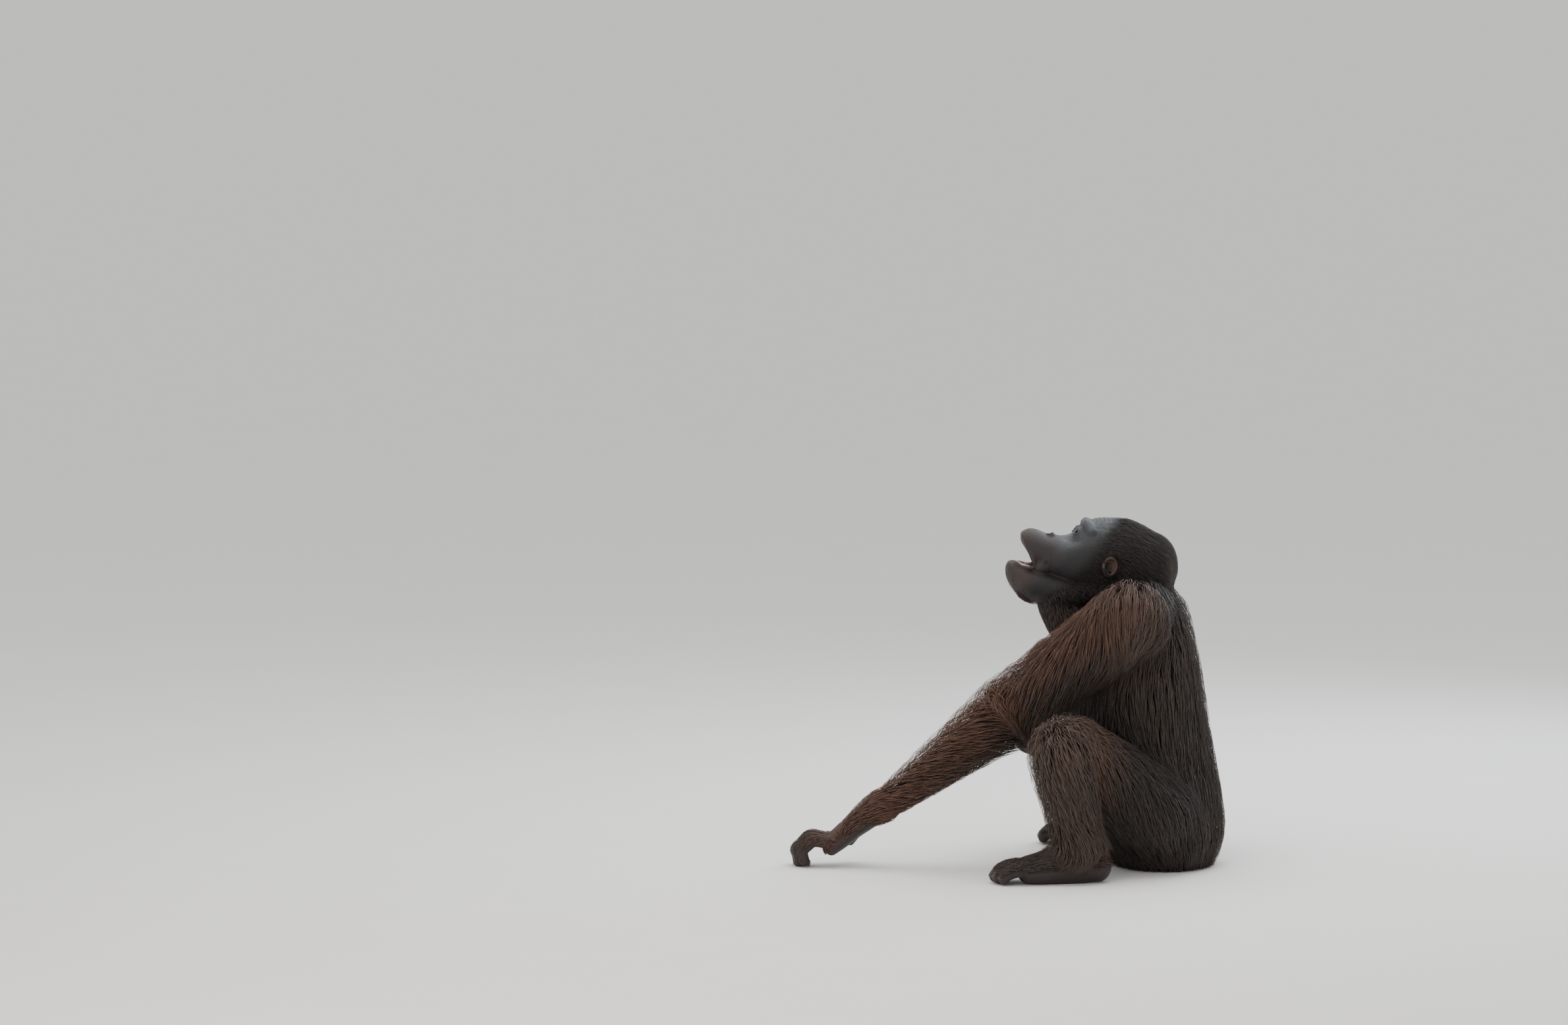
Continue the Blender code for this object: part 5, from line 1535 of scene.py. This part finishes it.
def skinMaterial():
    # Bare ape skin: thick, finely creased, with a grey painted highlight on the brow and the bridge
    marks = ["red", "paintedSheen", "dark", "warm", "paintedCheekShade", "paintedHighlight", "palm", "ear", "lip", "mouth", "hair"]
    material, tree, surface, own = startMaterial("orangutan skin, bare and creased", marks)
    patterns = {}
    for word, detail, roughness in (("blotch", 5.0, 0.6), ("fold", 3.0, 0.5), ("pore", 3.0, 0.5)):
        values = {"Scale": perMetre(skinLook[word + "Size"]), "Detail": detail, "Roughness": roughness}
        patterns[word] = addNode(tree, "TexNoise", {}, {"Vector": own["place"], **values})
    creaseScale = perMetre(skinLook["creaseSize"])
    edges = {"feature": "DISTANCE_TO_EDGE"}
    creases = addNode(tree, "TexVoronoi", edges, {"Vector": own["place"], "Scale": creaseScale})
    blotches = patterns["blotch"]
    # Skin under the coat, with the coat's own markings and its grey painted sheen
    paintedSheenShare = addNode(tree, "Math", multiply, {0: own["paintedSheen"], 1: 0.6})
    layers = [(own["red"], "underRed"), (paintedSheenShare, "underPaintedSheen"), (own["dark"], "underDark")]
    under = layered(tree, linear(skinLook["underBrown"]), [(share, skinLook[name]) for share, name in layers])
    # Bare skin of the face, blotched, with painted shade on the cheeks and a painted highlight on the brow
    # and the bridge, and of palms, soles and ears
    cheekShadeShare = addNode(tree, "Math", multiply, {0: own["paintedCheekShade"], 1: 0.85})
    # The painted highlight is broken up by the blotches
    highlightShare = addNode(tree, "Math", multiplyAdd, {0: blotches, 1: 0.9, 2: 0.35})
    highlightShare = addNode(tree, "Math", {"operation": "MULTIPLY", "use_clamp": True}, {0: own["paintedHighlight"], 1: highlightShare})
    layers = [(blotches, "faceLight"), (own["warm"], "warm"), (cheekShadeShare, "paintedCheekShade"), (highlightShare, "paintedHighlight")]
    face = layered(tree, linear(skinLook["face"]), [(share, skinLook[name]) for share, name in layers])
    palm = layered(tree, linear(skinLook["palm"]), [(blotches, skinLook["palmLight"])])
    ear = layered(tree, linear(skinLook["ear"]), [(blotches, skinLook["earDark"])])
    layers = [
        (own["palm"], palm),
        (own["ear"], ear),
        (own["lip"], skinLook["lip"]),
        (own["mouth"], skinLook["mouth"]),
        (own["hair"], under),
    ]
    base = layered(tree, face, layers)
    height = addNode(tree, "Math", multiply, {0: creases, 1: 0.9})
    height = addNode(tree, "Math", multiplyAdd, {0: patterns["pore"], 1: 0.25, 2: height})
    height = addNode(tree, "Math", multiplyAdd, {0: patterns["fold"], 1: 0.8, 2: height})
    relief = addNode(tree, "Bump", {}, {"Strength": 0.60, "Distance": 0.0012, "Height": height})
    rough = addNode(tree, "Math", multiplyAdd, {0: blotches, 1: 0.22, 2: 0.40})
    setInputs(surface, {"Base Color": base, "Normal": relief, "Roughness": rough})
    surface.inputs["IOR"].default_value = 1.40
    surface.inputs["Specular IOR Level"].default_value = 0.40
    surface.inputs["Sheen Weight"].default_value = 0.06
    surface.inputs["Sheen Roughness"].default_value = 0.40
    surface.inputs["Sheen Tint"].default_value = linear(skinLook["sheen"])
    return material


eyeLook = {
    "pupil": "#050404",
    "iris": ("#120906", "#28160c"),
    "white": ("#120c0a", "#2a1d18"),
    "pupilEdge": (10.0, 12.0),  # degrees from the line of sight
    "irisEdge": (31.0, 34.0),
    "fibreSize": 1.111,
}


def eyeMaterial():
    # Wet eye: near-black pupil, dark brown iris and brown white
    material, tree, surface, own = startMaterial("wet eye with brown iris", ["gaze"])
    fibreScale = perMetre(eyeLook["fibreSize"])
    fibres = addNode(tree, "TexNoise", {}, {"Vector": own["place"], "Scale": fibreScale, "Detail": 4.0})
    iris, white = [layered(tree, linear(eyeLook[n][0]), [(fibres, eyeLook[n][1])]) for n in ("iris", "white")]
    edges = []
    for low, high in (eyeLook["irisEdge"], eyeLook["pupilEdge"]):
        edges.append(addNode(tree, "MapRange", {}, {"Value": own["gaze"], "From Min": low, "From Max": high}))
    around = layered(tree, iris, [(edges[0], white)])
    base = layered(tree, linear(eyeLook["pupil"]), [(edges[1], around)])
    setInputs(surface, {"Base Color": base, "Roughness": 0.10})
    surface.inputs["IOR"].default_value = 1.38
    surface.inputs["Specular IOR Level"].default_value = 0.35
    return material


tongueLook = {"dark": "#4a2023", "light": "#6e3a3c", "patchSize": 8.333, "dotSize": 1.111}


def tongueMaterial():
    # Moist muscle under a rough, dotted lining
    material, tree, surface, own = startMaterial("moist tongue lining")
    dotScale, patchScale = perMetre(tongueLook["dotSize"]), perMetre(tongueLook["patchSize"])
    dots = addNode(tree, "TexVoronoi", {}, {"Vector": own["place"], "Scale": dotScale})
    patches = addNode(tree, "TexNoise", {}, {"Vector": own["place"], "Scale": patchScale, "Detail": 3.0})
    base = layered(tree, linear(tongueLook["dark"]), [(patches, tongueLook["light"])])
    relief = addNode(tree, "Bump", {}, {"Strength": 0.5, "Distance": 0.0005, "Height": dots})
    setInputs(surface, {"Base Color": base, "Normal": relief, "Roughness": 0.34})
    surface.inputs["IOR"].default_value = 1.40
    return material


nailLook = {"dark": "#1e1714", "light": "#4b3d35", "mottleSize": 0.7143}


def nailMaterial():
    # Keratin nail, worn: dull, and finely mottled in colour and relief
    material, tree, surface, own = startMaterial("dark keratin nail, worn")
    mottleScale = perMetre(nailLook["mottleSize"])
    mottles = addNode(tree, "TexNoise", {}, {"Vector": own["place"], "Scale": mottleScale, "Detail": 2.0})
    base = layered(tree, linear(nailLook["dark"]), [(mottles, nailLook["light"])])
    relief = addNode(tree, "Bump", {}, {"Strength": 0.3, "Distance": 0.0003, "Height": mottles})
    setInputs(surface, {"Base Color": base, "Normal": relief, "Roughness": 0.36})
    surface.inputs["IOR"].default_value = 1.54
    return material


floorLook = {"dark": "#e4e2de", "light": "#e8e6e2", "grainSize": 166.7}


def floorMaterial():
    # Matt painted studio floor, pale and even
    material, tree, surface, own = startMaterial("matt painted studio floor")
    grainScale = perMetre(floorLook["grainSize"])
    grain = addNode(tree, "TexNoise", {}, {"Vector": own["place"], "Scale": grainScale, "Detail": 4.0})
    base = layered(tree, linear(floorLook["dark"]), [(grain, floorLook["light"])])
    setInputs(surface, {"Base Color": base, "Roughness": 0.85})
    return material


def wear(piece, material):
    piece.data.materials.clear()
    piece.data.materials.append(material)


hairFinish = hairMaterial()
wear(skin, skinMaterial())
eyeFinish = eyeMaterial()
for side in (left, right):
    wear(eyes[side], eyeFinish)
wear(tongue, tongueMaterial())
wear(nails, nailMaterial())
print("materials made")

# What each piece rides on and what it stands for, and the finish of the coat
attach(skin, "root")
sideWords = ("left", "right")
flesh = ["torso", "neck", "head"]
for limb in ("ear", "upper_arm", "forearm", "hand", "thigh", "shin", "foot"):
    flesh += [limb + "_" + word for word in sideWords]
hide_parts(*flesh)
for side, word in zip((left, right), sideWords):
    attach(eyes[side], "root")
    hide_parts("eye_" + word)
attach(tongue, "root")
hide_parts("tongue")
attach(nails, "root")
for made, stem in madeCoats:
    wear(made, hairFinish)
    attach(made, "root")

# Studio: pale floor, soft lights and the camera at the photograph's angle
studio = {
    "floorSize": 400.0,
    "floorHeight": -0.0005,
    "target": (-0.461, 0.0, 0.603),
    "distance": 12.0,
    "elevation": 5.0,
    "lens": 161.5,
    "farthest": 500.0,
    "air": "#eceeef",
    "airStrength": 1.15,
    "lit": (0.0, 0.0, 0.3),
    # Place, size, power and colour of each soft light
    "soft_top": ((0.2, 0.3, 2.6), 2.4, 60, "#ffffff"),
    "soft_front": ((-1.2, -2.6, 1.4), 1.8, 26, "#fff4ea"),
    "soft_back": ((1.4, 1.8, 1.6), 1.4, 30, "#eaf2ff"),
}
half, height = studio["floorSize"] / 2, studio["floorHeight"]
rim = [(-half, -half, height), (half, -half, height), (half, half, height), (-half, half, height)]
floor = meshObject("studio_floor", rim, [(0, 1, 2, 3)])
wear(floor, floorMaterial())

world = bpy.data.worlds.new("studio air")
bpy.context.scene.world = world
world.use_nodes = True
air = {"Color": linear(studio["air"]), "Strength": studio["airStrength"]}
setInputs(world.node_tree.nodes["Background"], air)


def addToStudio(name, data, place, target):
    # A light or camera at a place, turned to its target
    made = bpy.data.objects.new(name, data)
    bpy.context.scene.collection.objects.link(made)
    made.location = place
    made.rotation_euler = (Vector(target) - Vector(place)).to_track_quat("-Z", "Y").to_euler()
    return made


for name in ("soft_top", "soft_front", "soft_back"):
    place, size, power, colour = studio[name]
    lamp = bpy.data.lights.new(name, "AREA")
    lamp.shape = "RECTANGLE"
    lamp.size, lamp.size_y = size, size
    lamp.energy = power
    lamp.color = linear(colour)[:3]
    addToStudio(name, lamp, place, studio["lit"])

camera = bpy.data.cameras.new("camera")
camera.lens = studio["lens"]
camera.sensor_width = 36.0
camera.clip_end = studio["farthest"]
target = Vector(studio["target"]) + shift
rise = math.radians(studio["elevation"])
place = target + Vector((0, -math.cos(rise), math.sin(rise))) * studio["distance"]
bpy.context.scene.camera = addToStudio("camera", camera, place, target)
print("studio set")
